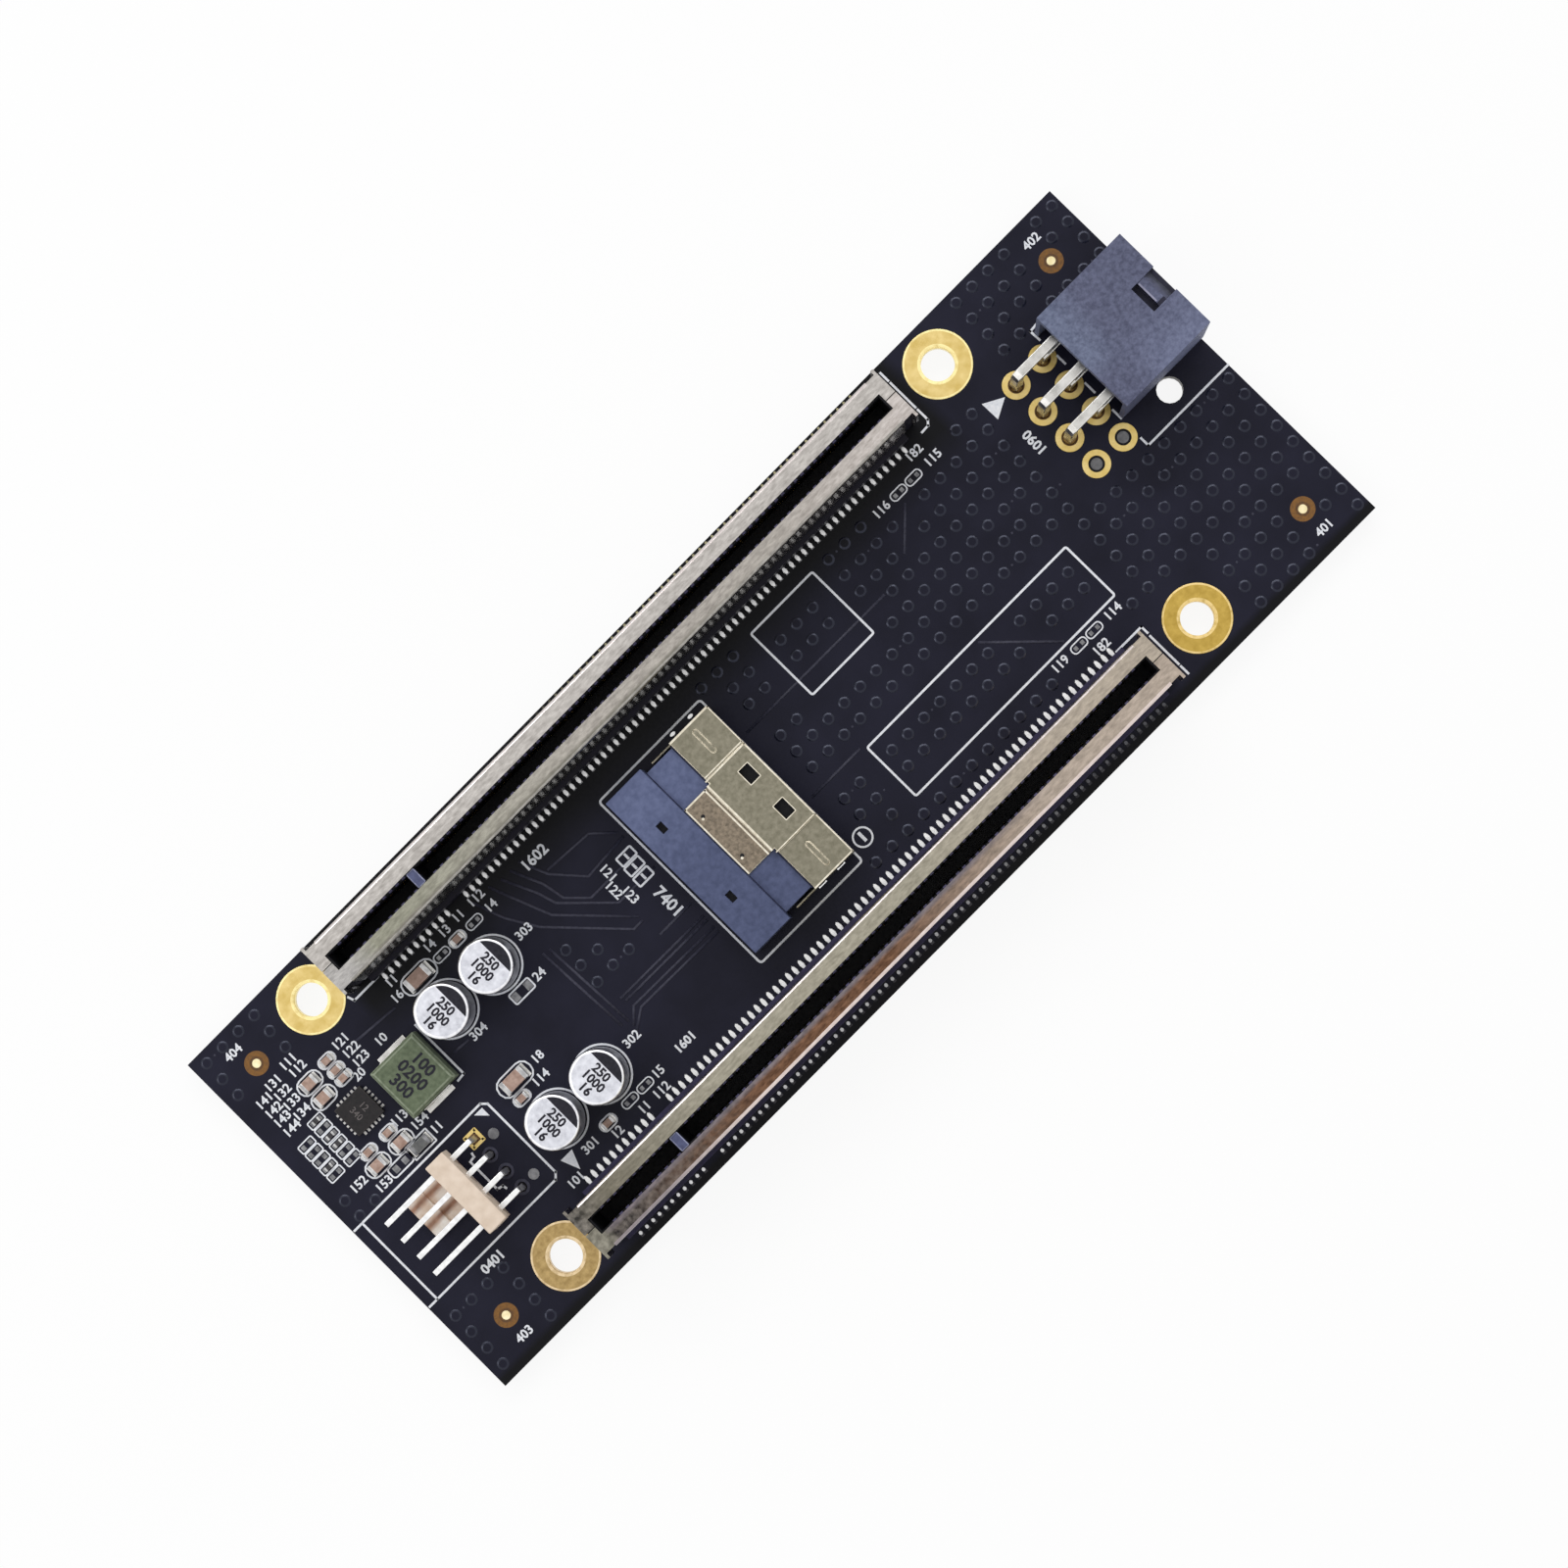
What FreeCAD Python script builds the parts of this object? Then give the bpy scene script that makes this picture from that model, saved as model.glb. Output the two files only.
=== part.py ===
"""Splitter card: one cable socket feeds two armoured card slots on a black board.

Millimetres. The origin is the centre of the four mounting holes, on the board's underside.
+X runs along the board to the power header, +Y to the upper slot, +Z is the component side.
"""
import FreeCAD, Part
import math
import os

Vector = FreeCAD.Vector

# Board: its ends and edges are set from the mounting holes
BOARD_THICKNESS = 1.6
LEFT_MARGIN = 15.1
RIGHT_MARGIN = 22.6
LOWER_MARGIN = 5.43
UPPER_MARGIN = 4.73
MOUNT_HOLE_DIAMETER = 4.0
MOUNT_LAND_DIAMETER = 8.0
LAND_THICKNESS = 0.05
LAND_SIDES = 24
SMALL_HOLE_SIDES = 12
PEG_HOLE_SIDES = 16
BEND_STEPS = 2

# Card slots: rows of contacts, with a key between the short and the long group
SLOT_SPACING = 40.64
CONTACT_PITCH = 1.0
CONTACTS_BEFORE_KEY = 11
CONTACTS_AFTER_KEY = 71
KEY_GAP = 3.0
KEY_WIDTH = 1.2
SLOT_END = 3.0
SLOT_TO_LEFT_HOLE = 4.82
SLOT_TO_RIGHT_HOLE = 6.48

# Slot housing, heights above the board
SLOT_STANDOFF = 0.35
SLOT_FOOT_LENGTH = 1.5
SLOT_HEIGHT = 11.2
FLANGE_WIDTH = 7.4
FLANGE_HEIGHT = 2.6
FLANGE_SETBACK = 1.9
MOUTH_WIDTH = 1.8
MOUTH_DEPTH = 1.9
MOUTH_LEAD_IN = 0.3
TROUGH_WALL = 0.7
TROUGH_SHOULDER = 0.6
TROUGH_END_ROOM = 1.35
SPINE_WIDTH = 2.6
SPINE_HEIGHT = 2.0

# Spring contact: a foot on the board, a heel and an arm that leans to the card
CONTACT_WIDTH = 0.5
CONTACT_STOCK = 0.22
FOOT_PAST_FLANGE = 0.6
HEEL_CLEARANCE = 0.35
HEEL_TO_TROUGH = 0.18
ARM_TIP_CLEARANCE = 0.2
ARM_TIP_BELOW_MOUTH = 0.9

# Slot armour: two folded sheet halves that meet in a seam at both ends
ARMOUR_THICKNESS = 0.35
ARMOUR_BEND = 0.5
ARMOUR_BACK_FROM_MOUTH = 0.2
ARMOUR_OPENING_END = 1.45
ARMOUR_SEAM = 0.1
ARMOUR_SKIRT_GAP = 0.3
ARMOUR_RELIEF_PAST_OPENING = 0.2
ARMOUR_TAB_INSET = 0.15
WING_WIDTH = 7.05
WING_HEIGHT = 5.0
ARMOUR_LEG_WIDTH = 1.0
ARMOUR_LEG_INSET = 1.2
LEG_DROP = 0.9
LEG_CLEARANCE = 0.15

# Cable socket, placed from the slots' middle
SOCKET_MOUTH_OFFSET = 5.7
SHELL_DEPTH = 5.95
SHELL_HEIGHT = 5.3
SHELL_THICKNESS = 0.25
HUMP_WIDTH = 11.2
HUMP_RISE = 0.35
WINDOW_LENGTH = 1.4
WINDOW_WIDTH = 2.0
WINDOW_SPACING = 5.46
WINDOW_SETBACK = 2.06
RIB_LENGTH = 3.4
RIB_WIDTH = 0.6
RIB_RISE = 0.15
RIB_SPACING = 17.6
RIB_SETBACK = 3.0
TONGUE_WIDTH = 10.1
TONGUE_LIP = 0.5
TONGUE_END_GAP = 0.15
TONGUE_BELOW_HUMP = 0.85
SIDE_ARM_LENGTH = 3.0
SIDE_ARM_DROP = 1.6
SHELL_LEG_WIDTH = 0.9
SHELL_LEG_SETBACKS = (2.3, 5.2)
STEP_DEPTH = 4.25
STEP_CLEARANCE = 0.3
BLOCK_DEPTH = 5.45
BLOCK_PAST_SHELL = 0.25
BLOCK_ABOVE_SHELL = 0.2
CORE_PIN_LENGTH = 0.8
CORE_PIN_WIDTH = 1.25
CORE_PIN_DEPTH = 0.8
CORE_PIN_SPACING = 10.8
CORE_PIN_SETBACK = 2.9
NOSE_RECESS = 1.0
NOSE_SIDE_GAP = 0.1
NOSE_TOP_GAP = 0.45
LOWER_LIP_TOP = 2.0
CARD_GAP = 1.3
CARD_GAP_PAST_SHELL = 2.5
SOCKET_CONTACT_COUNT = 37
SOCKET_CONTACT_PITCH = 0.58
SOCKET_CONTACT_WIDTH = 0.28
SOCKET_CONTACT_BOW = 0.2
SOCKET_CONTACT_RECESS = 0.4
SHELL_PAST_CONTACTS = 1.01

# Power header, placed from the board's right end
POWER_PITCH = 4.2
POWER_COLUMNS = 3
FOOTPRINT_COLUMNS = 4
POWER_WALL = 0.6
POWER_DEPTH = 12.85
POWER_ROOF = 1.7
POWER_OVERHANG = 0.3
POWER_CENTRE_Y = 8.18
POWER_LOWER_ROW = 2.8
CAVITY_WIDTH = 3.4
POWER_BACK_WALL = 2.45
POWER_BACK_RECESS = 1.2
POWER_BACK_ROOF = 1.2
CAVITY_CHAMFER = 0.9
KEYED_CAVITIES = ((0, 1), (2, 1), (1, 0))
POWER_PIN = 1.07
POWER_PIN_RECESS = 2.5
POWER_PIN_BEND = 0.9
POWER_HOLE_CLEARANCE = 0.29
POWER_LAND_SETBACK = 1.4
LATCH_WIDTH = 3.5
LATCH_LENGTH = 3.45
LATCH_DEPTH = 1.1
LATCH_RAMP_LENGTH = 2.0
LATCH_RAMP_SETBACK = 0.9
LATCH_RAMP_DROP = 0.15
PEG_HOLE_DIAMETER = 3.05
PEG_HOLE_FROM_END = 6.55

# Fan header, placed from the left hole column and the board's middle
FAN_PITCH = 2.54
FAN_PINS = 4
FAN_CENTRE_Y = -7.6
FAN_BASE_FRONT = -3.31
FAN_BASE_THICKNESS = 2.66
FAN_BASE_HEIGHT = 6.0
FAN_UNDERCUT_DEPTH = 0.7
FAN_UNDERCUT_HEIGHT = 2.6
FAN_PIN = 0.64
FAN_PIN_AXIS = 4.1
FAN_PIN_REACH = 7.75
FAN_PIN_BEND = 0.5
FAN_LAND_BEHIND = 2.65
FAN_HOLE_CLEARANCE = 0.15
TONGUE_REACH = 5.3
TONGUE_FLOOR = 0.5
TONGUE_THICKNESS = 1.0
RAMP_LENGTH = 2.6
RAMP_RISE = 0.9
TOOLING_HOLE_DIAMETER = 1.3
TOOLING_HOLE_BEHIND = 4.6
TOOLING_HOLE_SPACING = 6.4
TOOLING_HOLE_SHIFT = -0.5

# Radial capacitors, placed from the left hole column and inwards from the slots
CAN_DIAMETER = 6.3
CAN_HEIGHT = 6.0
CAN_NECK_HEIGHT = 0.9
CAN_NECK_INSET = 0.25
CAN_FROM_HOLES = 10.3
CAN_GAP = 0.7
UPPER_CAN_INSET = 11.82
LOWER_CAN_INSET = 11.42
LEAD_SPACING = 2.5
LEAD_WIDTH = 0.5
LEAD_HOLE_CLEARANCE = 0.15

# Inductor and regulator, placed from the left hole column and the board's middle
INDUCTOR_PLACE = (2.55, 5.96)
INDUCTOR_LENGTH = 6.75
INDUCTOR_WIDTH = 7.0
INDUCTOR_HEIGHT = 3.0
INDUCTOR_CHAMFER = 0.35
TERMINAL_WIDTH = 4.05
TERMINAL_THICKNESS = 0.15
TERMINAL_HEIGHT = 1.4
TERMINAL_FOOT = 0.75
REGULATOR_PLACE = (-4.85, 7.55)
REGULATOR_SIZE = 4.0
REGULATOR_HEIGHT = 0.9

# Chip parts: length, width, height and end length of each case size
LARGE_CASE = (3.2, 1.6, 1.5, 0.55)
MEDIUM_CASE = (2.0, 1.25, 0.95, 0.4)
SMALL_CASE = (1.5, 0.8, 0.75, 0.3)
TINY_CASE = (1.0, 0.5, 0.38, 0.22)
FUSE_CASE = (2.4, 1.2, 0.7, 0.45)
END_WRAP = 0.02

# Places of the chip parts near the regulator: from the left hole column and the board's middle
MEDIUM_PLACES = ((-6.7, 13.77), (-6.7, 11.5), (-7.75, 1.8), (-4.05, 1.8))
SMALL_PLACES = ((-3.55, 14.2), (-3.55, 12.7), (-3.55, 11.5), (-7.45, 3.6), (-4.35, 3.6))
TINY_PLACES = ((-9.2, 10.26), (-9.2, 7.95), (-9.2, 6.75), (-11.85, 5.6))
FUSE_PLACE = (-2.7, 0.04)

# Places of the chip parts beside the slots: from the left hole column and inwards from the slot
UPPER_LARGE_PLACE = (10.45, 6.93)
LOWER_LARGE_PLACE = (9.95, 17.95)
UPPER_SMALL_PLACES = ((16.55, 6.97),)
LOWER_SMALL_PLACES = ((9.05, 15.92), (13.95, 7.12))

# Values that follow from the sizes above
CONTACT_SPAN = CONTACT_PITCH * (CONTACTS_BEFORE_KEY + CONTACTS_AFTER_KEY - 2) + KEY_GAP
SLOT_LENGTH = CONTACT_SPAN + 2 * SLOT_END
HOLE_SPACING_X = SLOT_TO_LEFT_HOLE + SLOT_LENGTH + SLOT_TO_RIGHT_HOLE
TROUGH_WIDTH = SPINE_WIDTH + 2 * (HEEL_CLEARANCE + CONTACT_STOCK + HEEL_TO_TROUGH)
BODY_WIDTH = TROUGH_WIDTH + 2 * TROUGH_WALL
ARMOUR_OPENING_WIDTH = MOUTH_WIDTH + 2 * ARMOUR_BACK_FROM_MOUTH
ARMOUR_RELIEF = ARMOUR_OPENING_END + ARMOUR_RELIEF_PAST_OPENING
SHELL_WIDTH = SOCKET_CONTACT_PITCH * (SOCKET_CONTACT_COUNT - 1) + 2 * SHELL_PAST_CONTACTS
STEP_HEIGHT = SHELL_HEIGHT + HUMP_RISE - TONGUE_BELOW_HUMP
TONGUE_LENGTH = STEP_DEPTH - TONGUE_LIP - TONGUE_END_GAP
BLOCK_WIDTH = SHELL_WIDTH + 2 * BLOCK_PAST_SHELL
BLOCK_HEIGHT = SHELL_HEIGHT + BLOCK_ABOVE_SHELL
NOSE_HEIGHT = SHELL_HEIGHT - SHELL_THICKNESS - NOSE_TOP_GAP
CAVITY_DEPTH = POWER_DEPTH - POWER_BACK_WALL
POWER_HEIGHT = POWER_LOWER_ROW + POWER_PITCH + CAVITY_WIDTH / 2 + POWER_ROOF
POWER_HOLE_DIAMETER = POWER_PIN * math.sqrt(2) + POWER_HOLE_CLEARANCE
FAN_HOLE_DIAMETER = FAN_PIN * math.sqrt(2) + FAN_HOLE_CLEARANCE
CAN_COLUMNS = (CAN_FROM_HOLES, CAN_FROM_HOLES + CAN_DIAMETER + CAN_GAP)
BOARD_LENGTH = LEFT_MARGIN + HOLE_SPACING_X + RIGHT_MARGIN
BOARD_WIDTH = LOWER_MARGIN + SLOT_SPACING + UPPER_MARGIN
LEFT_HOLE_X = -HOLE_SPACING_X / 2
BOARD_LEFT = LEFT_HOLE_X - LEFT_MARGIN
BOARD_RIGHT = BOARD_LEFT + BOARD_LENGTH
BOARD_LOWER = -SLOT_SPACING / 2 - LOWER_MARGIN
TOP = BOARD_THICKNESS
SLOT_LEFT = LEFT_HOLE_X + SLOT_TO_LEFT_HOLE
SLOT_RIGHT = SLOT_LEFT + SLOT_LENGTH
UPPER_ROW = SLOT_SPACING / 2
LOWER_ROW = -SLOT_SPACING / 2
OUTWARD = {UPPER_ROW: 1, LOWER_ROW: -1}


def block(x0, x1, y0, y1, z0, z1):
    """Box between two corners."""
    return Part.makeBox(x1 - x0, y1 - y0, z1 - z0, Vector(x0, y0, z0))


def outline(points):
    """Flat face inside a closed run of straight edges."""
    return Part.Face(Part.makePolygon(points + [points[0]]))


def along_x(section, x0, x1):
    """Bar with a section of (y, z) points, from x0 to x1."""
    return outline([Vector(x0, y, z) for y, z in section]).extrude(Vector(x1 - x0, 0, 0))


def along_y(section, y0, y1):
    """Bar with a section of (x, z) points, from y0 to y1."""
    return outline([Vector(x, y0, z) for x, z in section]).extrude(Vector(0, y1 - y0, 0))


def along_z(section, z0, z1):
    """Plate with an outline of (x, y) points, from z0 to z1."""
    return outline([Vector(x, y, z0) for x, y in section]).extrude(Vector(0, 0, z1 - z0))


def round_bar(diameter, x, y, z0, z1):
    """Upright cylinder."""
    return Part.makeCylinder(diameter / 2, z1 - z0, Vector(x, y, z0))


def arc(x, y, radius, start, end, steps):
    """Points on an arc, with the angles in degrees."""
    angles = [math.radians(start + (end - start) * i / steps) for i in range(steps + 1)]
    return [(x + radius * math.cos(angle), y + radius * math.sin(angle)) for angle in angles]


def many_sided_bar(diameter, sides, x, y, z0, z1):
    """Upright bar for small round features: its sides stand for a circle."""
    return along_z(arc(x, y, diameter / 2, 0, 360, sides)[:-1], z0, z1)


def through_board(diameter, x, y):
    """Tool that drills a round hole through the board."""
    return round_bar(diameter, x, y, -TOP, 2 * TOP)


def small_hole(diameter, x, y, sides=SMALL_HOLE_SIDES):
    """Tool that makes a small round hole through the board with few faces."""
    return many_sided_bar(diameter, sides, x, y, -TOP, 2 * TOP)


def square_through_board(x0, x1, y0, y1):
    """Tool that cuts a rectangular hole through the board."""
    return block(x0, x1, y0, y1, -TOP, 2 * TOP)


def mount_places():
    """Centres of the four mounting holes."""
    return [(x, y) for x in (LEFT_HOLE_X, -LEFT_HOLE_X) for y in (LOWER_ROW, UPPER_ROW)]


def contact_places():
    """X of every contact of a slot, from the first to the last."""
    first = SLOT_LEFT + SLOT_END
    short_group = [first + CONTACT_PITCH * i for i in range(CONTACTS_BEFORE_KEY)]
    after_key = short_group[-1] + KEY_GAP
    return short_group + [after_key + CONTACT_PITCH * i for i in range(CONTACTS_AFTER_KEY)]


def slot_ends():
    """Each end of a slot as its X and the direction that leads into the slot."""
    return ((SLOT_LEFT, 1), (SLOT_RIGHT, -1))


def armour_leg_span(row, side):
    """Low and high Y of an armour half's leg."""
    near = row + side * ARMOUR_LEG_INSET
    far = row + side * (ARMOUR_LEG_INSET + ARMOUR_LEG_WIDTH)
    return min(near, far), max(near, far)


def armour_leg_holes():
    """Slots in the board for the eight armour legs."""
    tools = []
    for row in (UPPER_ROW, LOWER_ROW):
        for side in (1, -1):
            y0, y1 = armour_leg_span(row, side)
            for end, inward in slot_ends():
                x0, x1 = sorted((end, end + inward * ARMOUR_THICKNESS))
                tools.append(square_through_board(
                    x0 - LEG_CLEARANCE, x1 + LEG_CLEARANCE, y0 - LEG_CLEARANCE, y1 + LEG_CLEARANCE))
    return tools


def socket_mouth():
    """X of the cable socket's open face."""
    return (SLOT_LEFT + SLOT_RIGHT) / 2 + SOCKET_MOUTH_OFFSET


def shell_leg_spans():
    """Corners of the shell's four legs as (x0, x1, y0, y1)."""
    spans = []
    for setback in SHELL_LEG_SETBACKS:
        x0 = socket_mouth() - setback - SHELL_LEG_WIDTH / 2
        for side in (1, -1):
            y0, y1 = sorted((side * SHELL_WIDTH / 2, side * (SHELL_WIDTH / 2 - SHELL_THICKNESS)))
            spans.append((x0, x0 + SHELL_LEG_WIDTH, y0, y1))
    return spans


def shell_leg_holes():
    """Slots in the board for the shell's legs."""
    gap = LEG_CLEARANCE
    return [square_through_board(x0 - gap, x1 + gap, y0 - gap, y1 + gap)
            for x0, x1, y0, y1 in shell_leg_spans()]


def power_back():
    """X of the power housing's back face."""
    return BOARD_RIGHT + POWER_OVERHANG - POWER_DEPTH


def power_column(column):
    """Y of a column of the power header, counted from the upper side."""
    return POWER_CENTRE_Y + POWER_PITCH * ((POWER_COLUMNS - 1) / 2 - column)


def power_land_x(row):
    """X of the land that a row of pins goes to: row 0 is the lower one, nearer the housing."""
    return power_back() - POWER_LAND_SETBACK - POWER_PITCH * row


def fan_pin_places():
    """Y of the fan header's pins."""
    return [FAN_CENTRE_Y + FAN_PITCH * ((FAN_PINS - 1) / 2 - i) for i in range(FAN_PINS)]


def fan_front():
    """X of the face of the fan base that the pins point out of."""
    return LEFT_HOLE_X + FAN_BASE_FRONT


def fan_back():
    """X of the back of the fan base."""
    return fan_front() + FAN_BASE_THICKNESS


def can_places():
    """Centres of the four capacitors."""
    upper = UPPER_ROW - UPPER_CAN_INSET
    lower = LOWER_ROW + LOWER_CAN_INSET
    return [(LEFT_HOLE_X + x, y) for y in (upper, lower) for x in CAN_COLUMNS]


def lead_places():
    """Centres of the capacitors' leads."""
    return [(x + side * LEAD_SPACING / 2, y) for x, y in can_places() for side in (-1, 1)]


def circuit_board():
    """Laminate with all its holes."""
    board = block(BOARD_LEFT, BOARD_RIGHT, BOARD_LOWER, BOARD_LOWER + BOARD_WIDTH, 0, TOP)
    tools = [through_board(MOUNT_HOLE_DIAMETER, x, y) for x, y in mount_places()]
    for row in (0, 1):
        for column in range(FOOTPRINT_COLUMNS):
            tools.append(small_hole(POWER_HOLE_DIAMETER, power_land_x(row), power_column(column)))
    tools.append(small_hole(PEG_HOLE_DIAMETER, BOARD_RIGHT - PEG_HOLE_FROM_END,
                            power_column(FOOTPRINT_COLUMNS - 1), PEG_HOLE_SIDES))
    for y in fan_pin_places():
        tools.append(small_hole(FAN_HOLE_DIAMETER, fan_back() + FAN_LAND_BEHIND, y))
    for side in (-1, 1):
        y = FAN_CENTRE_Y + TOOLING_HOLE_SHIFT + side * TOOLING_HOLE_SPACING / 2
        tools.append(small_hole(TOOLING_HOLE_DIAMETER, fan_back() + TOOLING_HOLE_BEHIND, y))
    half = LEAD_WIDTH / 2 + LEAD_HOLE_CLEARANCE
    for x, y in lead_places():
        tools.append(square_through_board(x - half, x + half, y - half, y + half))
    return [board.cut(tools + armour_leg_holes() + shell_leg_holes())]


def mounting_lands():
    """Plated rings round the mounting holes, on the component side."""
    rings = []
    for x, y in mount_places():
        disc = many_sided_bar(MOUNT_LAND_DIAMETER, LAND_SIDES, x, y, TOP, TOP + LAND_THICKNESS)
        hole_sides_touch_circle = MOUNT_HOLE_DIAMETER / math.cos(math.pi / LAND_SIDES)
        rings.append(disc.cut(small_hole(hole_sides_touch_circle, x, y, LAND_SIDES)))
    return rings


def slot_housing(row):
    """Moulded slot body: a flanged bar on end feet, with the card mouth, troughs and the key bridge."""
    top = TOP + SLOT_HEIGHT - ARMOUR_THICKNESS
    bottom = TOP + SLOT_STANDOFF
    body = block(SLOT_LEFT + ARMOUR_THICKNESS, SLOT_RIGHT - ARMOUR_THICKNESS,
                 row - BODY_WIDTH / 2, row + BODY_WIDTH / 2, bottom, top)
    flange = block(SLOT_LEFT + FLANGE_SETBACK, SLOT_RIGHT - FLANGE_SETBACK,
                   row - FLANGE_WIDTH / 2, row + FLANGE_WIDTH / 2, bottom, TOP + FLANGE_HEIGHT)
    pieces = [flange]
    for end, inward in slot_ends():
        near = end + inward * ARMOUR_THICKNESS
        x0, x1 = sorted((near, near + inward * SLOT_FOOT_LENGTH))
        pieces.append(block(x0, x1, row - BODY_WIDTH / 2, row + BODY_WIDTH / 2, TOP, bottom))
    housing = body.fuse(pieces).removeSplitter()
    mouth = MOUTH_WIDTH / 2
    trough = TROUGH_WIDTH / 2
    spine = SPINE_WIDTH / 2
    shoulder = top - MOUTH_DEPTH
    right_side = [(mouth + MOUTH_LEAD_IN, top), (mouth, top - MOUTH_LEAD_IN), (mouth, shoulder),
                  (trough, shoulder - TROUGH_SHOULDER), (trough, bottom), (spine, bottom),
                  (spine, TOP + SPINE_HEIGHT)]
    left_side = [(-y, z) for y, z in reversed(right_side)]
    section = [(row + y, z) for y, z in right_side + left_side]
    places = contact_places()
    key = places[CONTACTS_BEFORE_KEY - 1] + KEY_GAP / 2
    short_group = along_x(section, places[0] - TROUGH_END_ROOM, key - KEY_WIDTH / 2)
    long_group = along_x(section, key + KEY_WIDTH / 2, places[-1] + TROUGH_END_ROOM)
    return [housing.cut([short_group, long_group])]


def slot_contacts(row, side):
    """One row of spring contacts: the foot tapers outwards and the arm tapers up to the card."""
    heel = SPINE_WIDTH / 2 + HEEL_CLEARANCE
    tip = FLANGE_WIDTH / 2 + FOOT_PAST_FLANGE
    arm_tip = MOUTH_WIDTH / 2 - ARM_TIP_CLEARANCE
    arm_top = SLOT_HEIGHT - ARMOUR_THICKNESS - MOUTH_DEPTH - ARM_TIP_BELOW_MOUTH
    section = [(heel, 0), (tip, 0), (heel + CONTACT_STOCK, CONTACT_STOCK), (arm_tip, arm_top)]
    placed = [(row + side * y, TOP + z) for y, z in section]
    return [along_x(placed, x - CONTACT_WIDTH / 2, x + CONTACT_WIDTH / 2) for x in contact_places()]


def slot_armour(row, side):
    """One armour half: top strip with a bent skirt, end tabs, and end plates with wings and legs."""
    top = TOP + SLOT_HEIGHT
    under = top - ARMOUR_THICKNESS
    lip = ARMOUR_OPENING_WIDTH / 2
    inner = BODY_WIDTH / 2
    outer = inner + ARMOUR_THICKNESS
    tab = outer - ARMOUR_TAB_INSET
    seam = ARMOUR_SEAM / 2
    skirt = TOP + FLANGE_HEIGHT + ARMOUR_SKIRT_GAP
    fold = [(lip, top), (lip, under), (inner, under), (inner, skirt), (outer, skirt), (outer, top)]
    strip = along_x([(row + side * y, z) for y, z in fold],
                    SLOT_LEFT + ARMOUR_RELIEF, SLOT_RIGHT - ARMOUR_RELIEF)
    bend = [edge for edge in strip.Edges
            if abs(edge.CenterOfMass.y - row - side * outer) < ARMOUR_SEAM
            and abs(edge.CenterOfMass.z - top) < ARMOUR_SEAM and edge.Length > SLOT_LENGTH / 2]
    half = strip.makeFillet(ARMOUR_BEND, bend)
    leg_in = ARMOUR_LEG_INSET
    leg_out = ARMOUR_LEG_INSET + ARMOUR_LEG_WIDTH
    foot = TOP + SLOT_STANDOFF
    wing = top - WING_HEIGHT
    plate = [(seam, top), (seam, foot), (leg_in, foot), (leg_in, -LEG_DROP), (leg_out, -LEG_DROP),
             (leg_out, foot), (tab, foot), (tab, wing), (WING_WIDTH / 2, wing), (WING_WIDTH / 2, top)]
    for end, inward in slot_ends():
        tab_outline = [(0, seam), (ARMOUR_OPENING_END, seam), (ARMOUR_OPENING_END, lip),
                       (ARMOUR_RELIEF, lip), (ARMOUR_RELIEF, tab), (0, tab)]
        placed = [(end + inward * x, row + side * y) for x, y in tab_outline]
        half = half.fuse(along_z(placed, under, top))
        half = half.fuse(along_x([(row + side * y, z) for y, z in plate],
                                 end, end + inward * ARMOUR_THICKNESS))
    return [half.removeSplitter()]


def stadium(length, width, x, y, z0, z1):
    """Raised bar along Y with round ends."""
    straight = (length - width) / 2
    upper_end = arc(x, y + straight, width / 2, 0, 180, 2 * BEND_STEPS)
    lower_end = arc(x, y - straight, width / 2, 180, 360, 2 * BEND_STEPS)
    return along_z(upper_end + lower_end, z0, z1)


def cable_socket_shell():
    """Folded shell: sides, top with a raised middle, windows, ribs, a joggled rear tongue and legs."""
    mouth = socket_mouth()
    rear = mouth - SHELL_DEPTH
    sheet = SHELL_THICKNESS
    half = SHELL_WIDTH / 2
    hump = HUMP_WIDTH / 2
    top = TOP + SHELL_HEIGHT
    crest = top + HUMP_RISE
    outside = [(half, TOP), (half, top), (hump, top), (hump, crest)]
    inside = [(hump - sheet, crest - sheet), (hump - sheet, top - sheet), (half - sheet, top - sheet),
              (half - sheet, TOP)]
    section = outside + [(-y, z) for y, z in reversed(outside)]
    section += [(-y, z) for y, z in reversed(inside)] + inside
    shell = along_x(section, rear, mouth)
    lip = rear - TONGUE_LIP
    seat = TOP + STEP_HEIGHT
    tongue = [(rear, crest), (lip, crest), (lip, seat + sheet), (lip - TONGUE_LENGTH, seat + sheet),
              (lip - TONGUE_LENGTH, seat), (lip + sheet, seat), (lip + sheet, crest - sheet),
              (rear, crest - sheet)]
    pieces = [along_y(tongue, -TONGUE_WIDTH / 2, TONGUE_WIDTH / 2)]
    for x0, x1, y0, y1 in shell_leg_spans():
        pieces.append(block(x0, x1, y0, y1, -LEG_DROP, TOP))
    for side in (-1, 1):
        y0, y1 = sorted((side * half, side * (half - sheet)))
        pieces.append(block(rear - SIDE_ARM_LENGTH, rear, y0, y1, TOP, top - SIDE_ARM_DROP))
        pieces.append(stadium(RIB_LENGTH, RIB_WIDTH, mouth - RIB_SETBACK, side * RIB_SPACING / 2,
                              top, top + RIB_RISE))
    windows = []
    for side in (-1, 1):
        x = mouth - WINDOW_SETBACK
        y = side * WINDOW_SPACING / 2
        windows.append(block(x - WINDOW_LENGTH / 2, x + WINDOW_LENGTH / 2,
                             y - WINDOW_WIDTH / 2, y + WINDOW_WIDTH / 2, top, crest + HUMP_RISE))
    return [shell.fuse(pieces).cut(windows).removeSplitter()]


def socket_lip_faces():
    """Heights of the card gap's floor and roof in the cable socket."""
    floor = TOP + LOWER_LIP_TOP
    return floor, floor + CARD_GAP


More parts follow.
